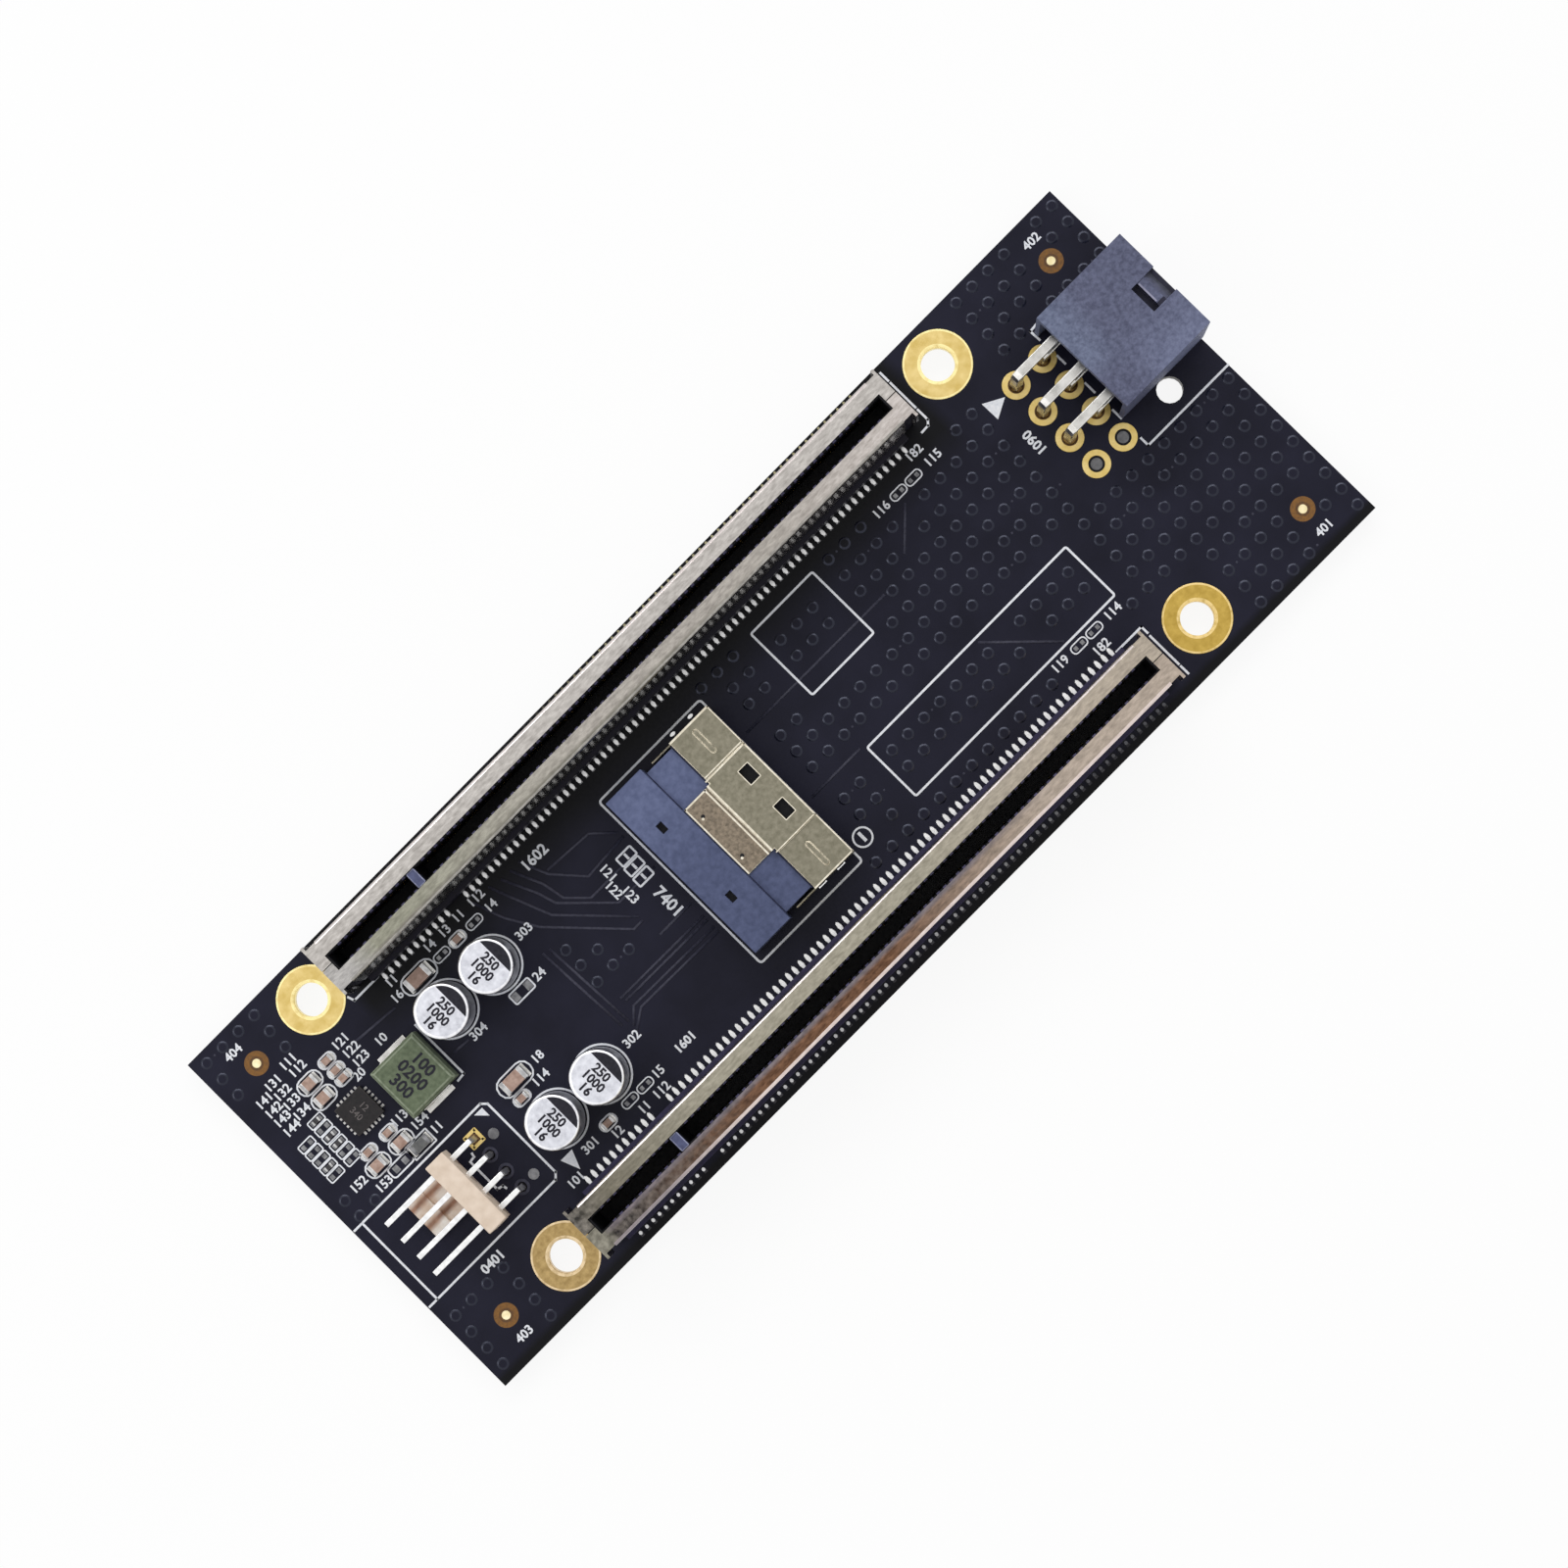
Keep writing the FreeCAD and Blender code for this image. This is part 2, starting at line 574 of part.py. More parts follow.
def cable_socket_housing():
    """Moulded body: rear block, step under the tongue, and two lips inside the shell."""
    mouth = socket_mouth()
    rear = mouth - SHELL_DEPTH
    step = rear - STEP_DEPTH
    floor, roof = socket_lip_faces()
    block_half = BLOCK_WIDTH / 2
    step_half = SHELL_WIDTH / 2 - SHELL_THICKNESS - STEP_CLEARANCE
    nose_half = SHELL_WIDTH / 2 - SHELL_THICKNESS - NOSE_SIDE_GAP
    body = block(step - BLOCK_DEPTH, step, -block_half, block_half, TOP, TOP + BLOCK_HEIGHT)
    ledge = block(step, rear, -step_half, step_half, TOP, TOP + STEP_HEIGHT)
    nose = block(rear, mouth - NOSE_RECESS, -nose_half, nose_half, TOP, TOP + NOSE_HEIGHT)
    gap = block(rear - CARD_GAP_PAST_SHELL, mouth, -nose_half, nose_half, floor, roof)
    inner_gap = block(rear - CARD_GAP_PAST_SHELL, rear, -step_half, step_half, floor, roof)
    pockets = []
    for side in (-1, 1):
        x = step - CORE_PIN_SETBACK
        y = side * CORE_PIN_SPACING / 2
        pockets.append(block(x - CORE_PIN_LENGTH / 2, x + CORE_PIN_LENGTH / 2,
                             y - CORE_PIN_WIDTH / 2, y + CORE_PIN_WIDTH / 2,
                             TOP + BLOCK_HEIGHT - CORE_PIN_DEPTH, TOP + BLOCK_HEIGHT))
    housing = body.fuse([ledge, nose]).removeSplitter()
    return [housing.cut([gap, inner_gap] + pockets)]


def cable_socket_contacts(on_roof):
    """One row of bowed contacts, on the roof or on the floor of the card gap."""
    floor, roof = socket_lip_faces()
    face = roof if on_roof else floor
    bow = -SOCKET_CONTACT_BOW if on_roof else SOCKET_CONTACT_BOW
    back = socket_mouth() - SHELL_DEPTH - CARD_GAP_PAST_SHELL
    front = socket_mouth() - NOSE_RECESS - SOCKET_CONTACT_RECESS
    section = [(back, face), (front, face), ((back + front) / 2, face + bow)]
    row = []
    for i in range(SOCKET_CONTACT_COUNT):
        y = SOCKET_CONTACT_PITCH * (i - (SOCKET_CONTACT_COUNT - 1) / 2)
        row.append(along_y(section, y - SOCKET_CONTACT_WIDTH / 2, y + SOCKET_CONTACT_WIDTH / 2))
    return row


def power_row_height(row):
    """Height of a pin row's axis."""
    return TOP + POWER_LOWER_ROW + POWER_PITCH * row


def power_cavity(column, row):
    """Space for one plug contact: square, or with two corners cut off where it is keyed."""
    half = CAVITY_WIDTH / 2
    y = power_column(column)
    z = power_row_height(row)
    cut = CAVITY_CHAMFER if (column, row) in KEYED_CAVITIES else 0
    outer = 1 if row else -1
    section = [(-half, -half * outer), (half, -half * outer)]
    if cut:
        section += [(half, (half - cut) * outer), (half - cut, half * outer),
                    (cut - half, half * outer), (-half, (half - cut) * outer)]
    else:
        section += [(half, half * outer), (-half, half * outer)]
    front = power_back() + POWER_DEPTH
    return along_x([(y + dy, z + dz) for dy, dz in section], front - CAVITY_DEPTH, front)


def power_pin(column, row):
    """Square pin, bent down with a round outer corner: from its cavity to below the board."""
    half = POWER_PIN / 2
    tip = power_back() + POWER_DEPTH - POWER_PIN_RECESS
    x = power_land_x(row)
    y = power_column(column)
    z = power_row_height(row)
    bend = arc(x - half + POWER_PIN_BEND, z + half - POWER_PIN_BEND, POWER_PIN_BEND, 90, 180, BEND_STEPS)
    section = [(tip, z - half), (tip, z + half)] + bend
    section += [(x - half, -LEG_DROP), (x + half, -LEG_DROP), (x + half, z - half)]
    return along_y(section, y - half, y + half)


def power_header_pins(row):
    """The pins of one row."""
    return [power_pin(column, row) for column in range(POWER_COLUMNS)]


def power_header_housing():
    """Moulded housing with six cavities, snug pin holes, a recessed back and a latch pocket with its ramp."""
    back = power_back()
    front = back + POWER_DEPTH
    inside = (POWER_COLUMNS * POWER_PITCH) / 2
    half = inside + POWER_WALL
    top = TOP + POWER_HEIGHT
    housing = block(back, front, POWER_CENTRE_Y - half, POWER_CENTRE_Y + half, TOP, top)
    tools = [block(back, back + POWER_BACK_RECESS, POWER_CENTRE_Y - inside, POWER_CENTRE_Y + inside,
                   TOP, top - POWER_BACK_ROOF)]
    for row in (0, 1):
        for column in range(POWER_COLUMNS):
            tools.append(power_cavity(column, row))
            y = power_column(column)
            z = power_row_height(row)
            tools.append(block(back, front - CAVITY_DEPTH, y - POWER_PIN / 2, y + POWER_PIN / 2,
                               z - POWER_PIN / 2, z + POWER_PIN / 2))
    latch_low = POWER_CENTRE_Y - LATCH_WIDTH / 2
    latch_high = POWER_CENTRE_Y + LATCH_WIDTH / 2
    tools.append(block(front - LATCH_LENGTH, front, latch_low, latch_high, top - LATCH_DEPTH, top))
    ramp_back = front - LATCH_LENGTH + LATCH_RAMP_SETBACK
    floor = top - LATCH_DEPTH
    ramp = along_y([(ramp_back, floor), (ramp_back, top - LATCH_RAMP_DROP),
                    (ramp_back + LATCH_RAMP_LENGTH / 2, top - LATCH_RAMP_DROP),
                    (ramp_back + LATCH_RAMP_LENGTH, floor)], latch_low, latch_high)
    return [housing.cut(tools).fuse(ramp).removeSplitter()]


def fan_header_base():
    """Upright base, undercut at the back, with pin holes and a low friction-lock tongue with its ramp."""
    front = fan_front()
    back = fan_back()
    half = FAN_PINS * FAN_PITCH / 2
    foot_back = back - FAN_UNDERCUT_DEPTH
    foot_top = TOP + FAN_UNDERCUT_HEIGHT
    section = [(front, TOP), (front, TOP + FAN_BASE_HEIGHT), (back, TOP + FAN_BASE_HEIGHT),
               (back, foot_top), (foot_back, foot_top), (foot_back, TOP)]
    base = along_y(section, FAN_CENTRE_Y - half, FAN_CENTRE_Y + half)
    low = TOP + TONGUE_FLOOR
    high = low + TONGUE_THICKNESS
    tip = front - TONGUE_REACH
    tongue = along_y([(front, low), (front, high), (tip + RAMP_LENGTH, high),
                      (tip + RAMP_LENGTH, high + RAMP_RISE), (tip, low + TONGUE_THICKNESS / 2), (tip, low)],
                     fan_pin_places()[2], fan_pin_places()[0])
    holes = [block(front, back, y - FAN_PIN / 2, y + FAN_PIN / 2,
                   TOP + FAN_PIN_AXIS - FAN_PIN / 2, TOP + FAN_PIN_AXIS + FAN_PIN / 2)
             for y in fan_pin_places()]
    return [base.fuse(tongue).cut(holes).removeSplitter()]


def fan_pin(y):
    """Square pin from its free tip through the base, bent down into the board."""
    half = FAN_PIN / 2
    tip = fan_front() - FAN_PIN_REACH
    z = TOP + FAN_PIN_AXIS
    x = fan_back() + FAN_LAND_BEHIND
    bend = arc(x + half - FAN_PIN_BEND, z + half - FAN_PIN_BEND, FAN_PIN_BEND, 90, 0, BEND_STEPS)
    section = [(tip, z - half), (tip, z + half)] + bend
    section += [(x + half, -LEG_DROP), (x - half, -LEG_DROP), (x - half, z - half)]
    return along_y(section, y - half, y + half)


def fan_header_pins():
    """The four pins."""
    return [fan_pin(y) for y in fan_pin_places()]


def capacitor_can(x, y):
    """Sealed can, necked in at its foot where the rim is rolled over the seal."""
    r = CAN_DIAMETER / 2
    neck = r - CAN_NECK_INSET
    section = [(0, 0), (neck, 0), (neck, CAN_NECK_HEIGHT), (r, CAN_NECK_HEIGHT), (r, CAN_HEIGHT),
               (0, CAN_HEIGHT)]
    can = outline([Vector(d, 0, TOP + z) for d, z in section])
    return [can.revolve(Vector(0, 0, 0), Vector(0, 0, 1), 360).translated(Vector(x, y, 0))]


def capacitor_leads():
    """Leads of the four capacitors, from the can's foot to below the board."""
    half = LEAD_WIDTH / 2
    return [block(x - half, x + half, y - half, y + half, -LEG_DROP, TOP) for x, y in lead_places()]


def inductor_core():
    """Moulded core with its upper edges broken."""
    x = LEFT_HOLE_X + INDUCTOR_PLACE[0]
    y = INDUCTOR_PLACE[1]
    high = TOP + INDUCTOR_HEIGHT
    core = block(x - INDUCTOR_LENGTH / 2, x + INDUCTOR_LENGTH / 2,
                 y - INDUCTOR_WIDTH / 2, y + INDUCTOR_WIDTH / 2, TOP, high)
    rim = [edge for edge in core.Edges if edge.BoundBox.ZMin > TOP + INDUCTOR_HEIGHT / 2]
    return [core.makeChamfer(INDUCTOR_CHAMFER, rim)]


def inductor_terminals():
    """Two strips, each up one end of the core and out on the board."""
    x = LEFT_HOLE_X + INDUCTOR_PLACE[0]
    strips = []
    for side in (-1, 1):
        end = INDUCTOR_WIDTH / 2
        section = [(end, 0), (end + TERMINAL_FOOT, 0), (end + TERMINAL_FOOT, TERMINAL_THICKNESS),
                   (end + TERMINAL_THICKNESS, TERMINAL_THICKNESS),
                   (end + TERMINAL_THICKNESS, TERMINAL_HEIGHT), (end, TERMINAL_HEIGHT)]
        placed = [(INDUCTOR_PLACE[1] + side * y, TOP + z) for y, z in section]
        strips.append(along_x(placed, x - TERMINAL_WIDTH / 2, x + TERMINAL_WIDTH / 2))
    return strips


def regulator_chip():
    """Flat moulded chip."""
    x = LEFT_HOLE_X + REGULATOR_PLACE[0]
    y = REGULATOR_PLACE[1]
    half = REGULATOR_SIZE / 2
    return [block(x - half, x + half, y - half, y + half, TOP, TOP + REGULATOR_HEIGHT)]


def chip_body(case, x, y):
    """Middle of a chip part, between its metal ends."""
    length, width, height, end = case
    return block(x - length / 2 + end, x + length / 2 - end, y - width / 2, y + width / 2,
                 TOP, TOP + height)


def chip_ends(case, x, y):
    """The two metal ends of a chip part, a little thicker than its middle."""
    length, width, height, end = case
    half = width / 2 + END_WRAP
    ends = []
    for side in (-1, 1):
        x0, x1 = sorted((x + side * length / 2, x + side * (length / 2 - end)))
        ends.append(block(x0, x1, y - half, y + half, TOP, TOP + height + END_WRAP))
    return ends


def near_regulator(places):
    """Places by the regulator in the card's frame."""
    return [(LEFT_HOLE_X + x, y) for x, y in places]


def beside_slots(upper, lower):
    """Places beside the slots in the card's frame."""
    return ([(LEFT_HOLE_X + x, UPPER_ROW - inset) for x, inset in upper]
            + [(LEFT_HOLE_X + x, LOWER_ROW + inset) for x, inset in lower])


def chip_nodes(name, case, places):
    """Bodies and ends of one kind of chip part."""
    bodies = [chip_body(case, x, y) for x, y in places]
    ends = [end for x, y in places for end in chip_ends(case, x, y)]
    return {name: bodies, name + "_ends": ends}


def card_nodes():
    """Every piece of the card by name."""
    nodes = {"circuit_board": circuit_board(), "mounting_lands": mounting_lands()}
    for name, row in (("upper_slot", UPPER_ROW), ("lower_slot", LOWER_ROW)):
        nodes[name + "_housing"] = slot_housing(row)
        for face, side in (("outer", OUTWARD[row]), ("inner", -OUTWARD[row])):
            nodes[name + "_" + face + "_contacts"] = slot_contacts(row, side)
            nodes[name + "_" + face + "_armour"] = slot_armour(row, side)
    nodes["cable_socket_housing"] = cable_socket_housing()
    nodes["cable_socket_shell"] = cable_socket_shell()
    nodes["cable_socket_upper_contacts"] = cable_socket_contacts(True)
    nodes["cable_socket_lower_contacts"] = cable_socket_contacts(False)
    nodes["power_header_housing"] = power_header_housing()
    nodes["power_header_lower_pins"] = power_header_pins(0)
    nodes["power_header_upper_pins"] = power_header_pins(1)
    nodes["fan_header_base"] = fan_header_base()
    nodes["fan_header_pins"] = fan_header_pins()
    for number, (x, y) in enumerate(can_places(), 1):
        nodes["capacitor_can_%d" % number] = capacitor_can(x, y)
    nodes["capacitor_leads"] = capacitor_leads()
    nodes["inductor_core"] = inductor_core()
    nodes["inductor_terminals"] = inductor_terminals()
    nodes["regulator_chip"] = regulator_chip()
    nodes.update(chip_nodes("large_chip_capacitors", LARGE_CASE,
                            beside_slots([UPPER_LARGE_PLACE], [LOWER_LARGE_PLACE])))
    nodes.update(chip_nodes("medium_chip_capacitors", MEDIUM_CASE, near_regulator(MEDIUM_PLACES)))
    nodes.update(chip_nodes("small_chip_capacitors", SMALL_CASE, near_regulator(SMALL_PLACES)
                            + beside_slots(UPPER_SMALL_PLACES, LOWER_SMALL_PLACES)))
    nodes.update(chip_nodes("chip_resistors", TINY_CASE, near_regulator(TINY_PLACES)))
    nodes.update(chip_nodes("chip_fuse", FUSE_CASE, near_regulator([FUSE_PLACE])))
    return nodes


def write_steps(nodes):
    """One STEP file per piece."""
    os.makedirs("parts", exist_ok=True)
    for name, solids in nodes.items():
        shape = solids[0] if len(solids) == 1 else Part.makeCompound(solids)
        shape.exportStep("parts/" + name + ".step")


write_steps(card_nodes())
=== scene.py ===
# %% [markdown]
# # A splitter card, dressed piece by piece
# The card is already built as exact solids. This lesson loads those solids as a fixed frame and then
# gives every surface the finish of the real card: black lacquer over copper, white print, gold lands,
# brushed steel on the card slots, and moulded plastic.
# Nothing here moves or resizes a solid. A piece is either a solid with a better finish, a softened copy
# that stands for its solid, or a thin new piece that lies on the board.

# %% Load the frame
import math

import bmesh
import bpy
from mathutils import Matrix, Vector


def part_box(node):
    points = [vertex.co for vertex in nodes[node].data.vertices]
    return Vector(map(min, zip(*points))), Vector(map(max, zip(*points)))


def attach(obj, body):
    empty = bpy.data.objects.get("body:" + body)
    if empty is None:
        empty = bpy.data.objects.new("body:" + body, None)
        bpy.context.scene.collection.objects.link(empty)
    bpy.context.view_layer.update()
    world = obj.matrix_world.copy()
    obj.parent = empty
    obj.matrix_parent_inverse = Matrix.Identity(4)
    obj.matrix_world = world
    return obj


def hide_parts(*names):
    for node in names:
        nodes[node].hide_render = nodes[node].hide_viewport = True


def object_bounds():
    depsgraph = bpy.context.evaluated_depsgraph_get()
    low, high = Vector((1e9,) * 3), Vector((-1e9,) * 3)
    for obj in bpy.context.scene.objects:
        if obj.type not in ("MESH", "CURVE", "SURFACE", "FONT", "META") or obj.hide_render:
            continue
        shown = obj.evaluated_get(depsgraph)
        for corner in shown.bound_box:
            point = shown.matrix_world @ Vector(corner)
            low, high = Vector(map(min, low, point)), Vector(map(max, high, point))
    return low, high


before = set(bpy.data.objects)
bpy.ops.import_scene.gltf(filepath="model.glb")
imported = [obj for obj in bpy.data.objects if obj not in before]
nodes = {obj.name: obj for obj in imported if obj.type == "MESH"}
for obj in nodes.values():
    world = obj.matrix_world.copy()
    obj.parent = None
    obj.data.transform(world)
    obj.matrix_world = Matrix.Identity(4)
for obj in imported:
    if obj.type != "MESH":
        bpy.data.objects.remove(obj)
cad_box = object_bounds()
MM = 0.001
BOARD_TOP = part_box("circuit_board")[1].z / MM
print("loaded", len(nodes), "solids, board top at", round(BOARD_TOP, 2), "mm")

# %% [markdown]
# ## Camera and light
# The picture looks almost straight down on the card, which lies turned by half a right angle.
# The eye stands a little to one side, so that tall parts show one of their flanks.
# The light is plain: an even white sky, a long soft box beyond the top of the picture that draws a bright
# edge on raised things, and a small one at the side.

# %% Camera
PICTURE_TURN = math.radians(45.275)
EYE = Vector((11.3, -20.34, 381.6)) * MM
AIM = Vector((4.6, -0.52, 1.6)) * MM
SENSOR_WIDTH = 36.0
LENS = 78.03
NEAREST = 0.01
FARTHEST = 20.0
PICTURE_UP = Vector((math.sin(PICTURE_TURN), math.cos(PICTURE_TURN), 0.0))
PICTURE_RIGHT = Vector((math.cos(PICTURE_TURN), -math.sin(PICTURE_TURN), 0.0))

camera = bpy.data.objects.new("camera", bpy.data.cameras.new("camera"))
bpy.context.scene.collection.objects.link(camera)
forward = (AIM - EYE).normalized()
right = forward.cross(PICTURE_UP).normalized()
facing_card = Matrix((right, right.cross(forward), -forward)).transposed().to_4x4()
camera.matrix_world = Matrix.Translation(EYE) @ facing_card
camera.data.sensor_width = SENSOR_WIDTH
camera.data.lens = LENS
camera.data.clip_start = NEAREST
camera.data.clip_end = FARTHEST
bpy.context.scene.camera = camera
bpy.context.scene.view_settings.view_transform = "Standard"
print("camera", round((AIM - EYE).length / MM), "mm away")

# %% [markdown]
# White comes from the sky and the floor themselves, and not from more light on the card: a ray from the
# camera, a mirror or a glass sees them at full white, and every other ray sees the plain light level.

# %% Sky
SKY_LIGHT = 0.62
WHITE = (1.0, 1.0, 1.0, 1.0)


def seen_directly(tree):
    """A mask that is one for rays of the camera, of mirrors and of glass."""
    path = tree.nodes.new("ShaderNodeLightPath")
    first = tree.nodes.new("ShaderNodeMath")
    first.operation = "MAXIMUM"
    second = tree.nodes.new("ShaderNodeMath")
    second.operation = "MAXIMUM"
    tree.links.new(path.outputs["Is Camera Ray"], first.inputs[0])
    tree.links.new(path.outputs["Is Glossy Ray"], first.inputs[1])
    tree.links.new(first.outputs[0], second.inputs[0])
    tree.links.new(path.outputs["Is Transmission Ray"], second.inputs[1])
    return second.outputs[0]


world = bpy.data.worlds.new("studio")
bpy.context.scene.world = world
world.use_nodes = True
sky = world.node_tree
plain = sky.nodes["Background"]
plain.inputs["Color"].default_value = WHITE
plain.inputs["Strength"].default_value = SKY_LIGHT
shown = sky.nodes.new("ShaderNodeBackground")
shown.inputs["Color"].default_value = WHITE
shown.inputs["Strength"].default_value = 1.0
choose = sky.nodes.new("ShaderNodeMixShader")
sky.links.new(seen_directly(sky), choose.inputs[0])
sky.links.new(plain.outputs[0], choose.inputs[1])
sky.links.new(shown.outputs[0], choose.inputs[2])
sky.links.new(choose.outputs[0], sky.nodes["World Output"].inputs["Surface"])
print("sky at a light level of", SKY_LIGHT)

# %% [markdown]
# The floor is a sheet of matt white paper just below the lowest pin. For the rays that see it directly most
# of it is a plain glow, and the rest is real paper, so the card keeps a faint shadow.

# %% Floor
FLOOR_SHOW = 0.9
FLOOR_PAPER = (0.94, 0.94, 0.94, 1.0)
FLOOR_HALF = 3.0
FLOOR_GAP = 0.02
floor_finish = bpy.data.materials.new("floor_white")
floor_finish.use_nodes = True
tree = floor_finish.node_tree
matt = tree.nodes["Principled BSDF"]
matt.inputs["Base Color"].default_value = FLOOR_PAPER
matt.inputs["Roughness"].default_value = 0.9
glow = tree.nodes.new("ShaderNodeEmission")
glow.inputs["Strength"].default_value = 1.0
share = tree.nodes.new("ShaderNodeMath")
share.operation = "MULTIPLY"
share.inputs[1].default_value = FLOOR_SHOW
mix = tree.nodes.new("ShaderNodeMixShader")
tree.links.new(seen_directly(tree), share.inputs[0])
tree.links.new(share.outputs[0], mix.inputs[0])
tree.links.new(matt.outputs[0], mix.inputs[1])
tree.links.new(glow.outputs[0], mix.inputs[2])
tree.links.new(mix.outputs[0], tree.nodes["Material Output"].inputs["Surface"])

slab = bmesh.new()
bmesh.ops.create_grid(slab, x_segments=1, y_segments=1, size=FLOOR_HALF)
bmesh.ops.translate(slab, verts=slab.verts, vec=(0.0, 0.0, cad_box[0].z - FLOOR_GAP * MM))
floor_mesh = bpy.data.meshes.new("floor")
slab.to_mesh(floor_mesh)
slab.free()
floor = bpy.data.objects.new("floor", floor_mesh)
bpy.context.scene.collection.objects.link(floor)
floor_mesh.materials.append(floor_finish)
print("floor", FLOOR_GAP, "mm below the card")

# %% [markdown]
# Two soft boxes give the metal something to reflect and the raised things a bright side. They are placed by
# how far they stand to the right of the picture's middle, towards its top and above the card, in metres.

# %% Soft boxes


def soft_box(name, across, up, height, size, watts):
    """A flat lamp, placed by its offset in the picture and its height, that faces the card."""
    lamp = bpy.data.lights.new(name, "AREA")
    lamp.shape = "RECTANGLE"
    lamp.size, lamp.size_y = size
    lamp.energy = watts
    holder = bpy.data.objects.new(name, lamp)
    holder.location = PICTURE_RIGHT * across + PICTURE_UP * up + Vector((0.0, 0.0, height))
    holder.rotation_euler = (-holder.location).to_track_quat("-Z", "Y").to_euler()
    bpy.context.scene.collection.objects.link(holder)
    return holder


soft_box("key_light", across=-0.16, up=0.80, height=0.76, size=(1.30, 0.28), watts=4.84)
soft_box("side_light", across=-0.45, up=-0.12, height=0.45, size=(0.25, 0.25), watts=0.55)
print("studio with", len(bpy.data.lights), "soft boxes")

# %% [markdown]
# ## Finishes
# Each finish is a Principled shader fed by a pattern that varies over the surface. Three effects are
# shared by many finishes, so each is a node group: the grain of moulded or cast things, the streaks of
# drawn sheet metal, and a pale colour along edges, partly scuffing from handling and partly painted
# highlight.

# %% Shared effects
effects = {}


def open_group(name, numbers, vectors=()):
    """A node group with number and vector inputs and one mask as its output."""
    group = bpy.data.node_groups.new(name, "ShaderNodeTree")
    for label in numbers:
        group.interface.new_socket(label, in_out="INPUT", socket_type="NodeSocketFloat")
    for label in vectors:
        group.interface.new_socket(label, in_out="INPUT", socket_type="NodeSocketVector")
    group.interface.new_socket("Mask", in_out="OUTPUT", socket_type="NodeSocketFloat")
    effects[name] = group
    return group, group.nodes.new("NodeGroupInput"), group.nodes.new("NodeGroupOutput")


def noise_in(group, scale_socket, low, high, detail):
    """Noise inside a group, stretched so that low becomes nought and high becomes one."""
    noise = group.nodes.new("ShaderNodeTexNoise")
    noise.inputs["Detail"].default_value = detail
    spread = group.nodes.new("ShaderNodeMapRange")
    spread.inputs["From Min"].default_value = low
    spread.inputs["From Max"].default_value = high
    group.links.new(scale_socket, noise.inputs["Scale"])
    group.links.new(noise.outputs["Fac"], spread.inputs["Value"])
    return noise, spread.outputs["Result"]


group, inside, outside = open_group("moulded_grain", ["Scale"])
place = group.nodes.new("ShaderNodeTexCoord")
noise, mask = noise_in(group, inside.outputs["Scale"], low=0.3, high=0.7, detail=4.0)
group.links.new(place.outputs["Object"], noise.inputs["Vector"])
group.links.new(mask, outside.inputs["Mask"])

group, inside, outside = open_group("drawn_streaks", ["Scale"], ["Along"])
place = group.nodes.new("ShaderNodeTexCoord")
stretch = group.nodes.new("ShaderNodeVectorMath")
stretch.operation = "MULTIPLY"
noise, mask = noise_in(group, inside.outputs["Scale"], low=0.26, high=0.74, detail=5.0)
group.links.new(place.outputs["Object"], stretch.inputs[0])
group.links.new(inside.outputs["Along"], stretch.inputs[1])
group.links.new(stretch.outputs[0], noise.inputs["Vector"])
group.links.new(mask, outside.inputs["Mask"])

# a pale colour on marked edges, partly scuffing and partly painted highlight
group, inside, outside = open_group("edge_scuff_and_highlight", ["Edge", "Scale"])
place = group.nodes.new("ShaderNodeTexCoord")
noise, mask = noise_in(group, inside.outputs["Scale"], low=0.2, high=0.55, detail=3.0)
both = group.nodes.new("ShaderNodeMath")
both.operation = "MULTIPLY"
group.links.new(place.outputs["Object"], noise.inputs["Vector"])
group.links.new(mask, both.inputs[0])
group.links.new(inside.outputs["Edge"], both.inputs[1])
group.links.new(both.outputs[0], outside.inputs["Mask"])
print("shared effects:", ", ".join(effects))

# %% [markdown]
# Colours are written as they look on a screen, and a helper turns them into the linear values that shaders
# take. The other helpers here each place one or two nodes: a mix of colours, a range of numbers, a bump.

# %% Colours and masks
RELIEF_STRENGTH = 0.6


def paint(red, green, blue):
    """A screen colour from 0 to 255 as the linear colour of a shader."""
    linear = []
    for part in (red / 255, green / 255, blue / 255):
        linear.append(part / 12.92 if part <= 0.04045 else ((part + 0.055) / 1.055) ** 2.4)
    return (*linear, 1.0)


def effect_node(tree, name, **values):
    """One use of a shared effect, with its own values."""
    node = tree.nodes.new("ShaderNodeGroup")
    node.node_tree = effects[name]
    for label, value in values.items():
        node.inputs[label].default_value = value
    return node


def colour_mix(tree, mask, first, second):
    """A colour that goes from the first to the second with the mask."""
    blend = tree.nodes.new("ShaderNodeMix")
    blend.data_type = "RGBA"
    tree.links.new(mask, blend.inputs[0])
    for value, socket in ((first, blend.inputs[6]), (second, blend.inputs[7])):
        if isinstance(value, tuple):
            socket.default_value = value
        else:
            tree.links.new(value, socket)
    return blend.outputs[2]


def number_range(tree, mask, low, high):
    """A number that goes from low to high with the mask."""
    spread = tree.nodes.new("ShaderNodeMapRange")
    spread.inputs["To Min"].default_value = low
    spread.inputs["To Max"].default_value = high
    tree.links.new(mask, spread.inputs["Value"])
    return spread.outputs["Result"]


def low_relief(tree, shader, mask, height_mm):
    """A bump as high as the grain of the real surface."""
    bump = tree.nodes.new("ShaderNodeBump")
    bump.inputs["Strength"].default_value = RELIEF_STRENGTH
    bump.inputs["Distance"].default_value = height_mm * MM
    tree.links.new(mask, bump.inputs["Height"])
    tree.links.new(bump.outputs["Normal"], shader.inputs["Normal"])


def pattern_mask(tree, grain, along=None):
    """The mask of a grain, or of streaks where a direction is given."""
    if along:
        return effect_node(tree, "drawn_streaks", Scale=grain, Along=along).outputs["Mask"]
    return effect_node(tree, "moulded_grain", Scale=grain).outputs["Mask"]


print("a middle grey of 128 is", round(paint(128, 128, 128)[0], 3), "in a shader")
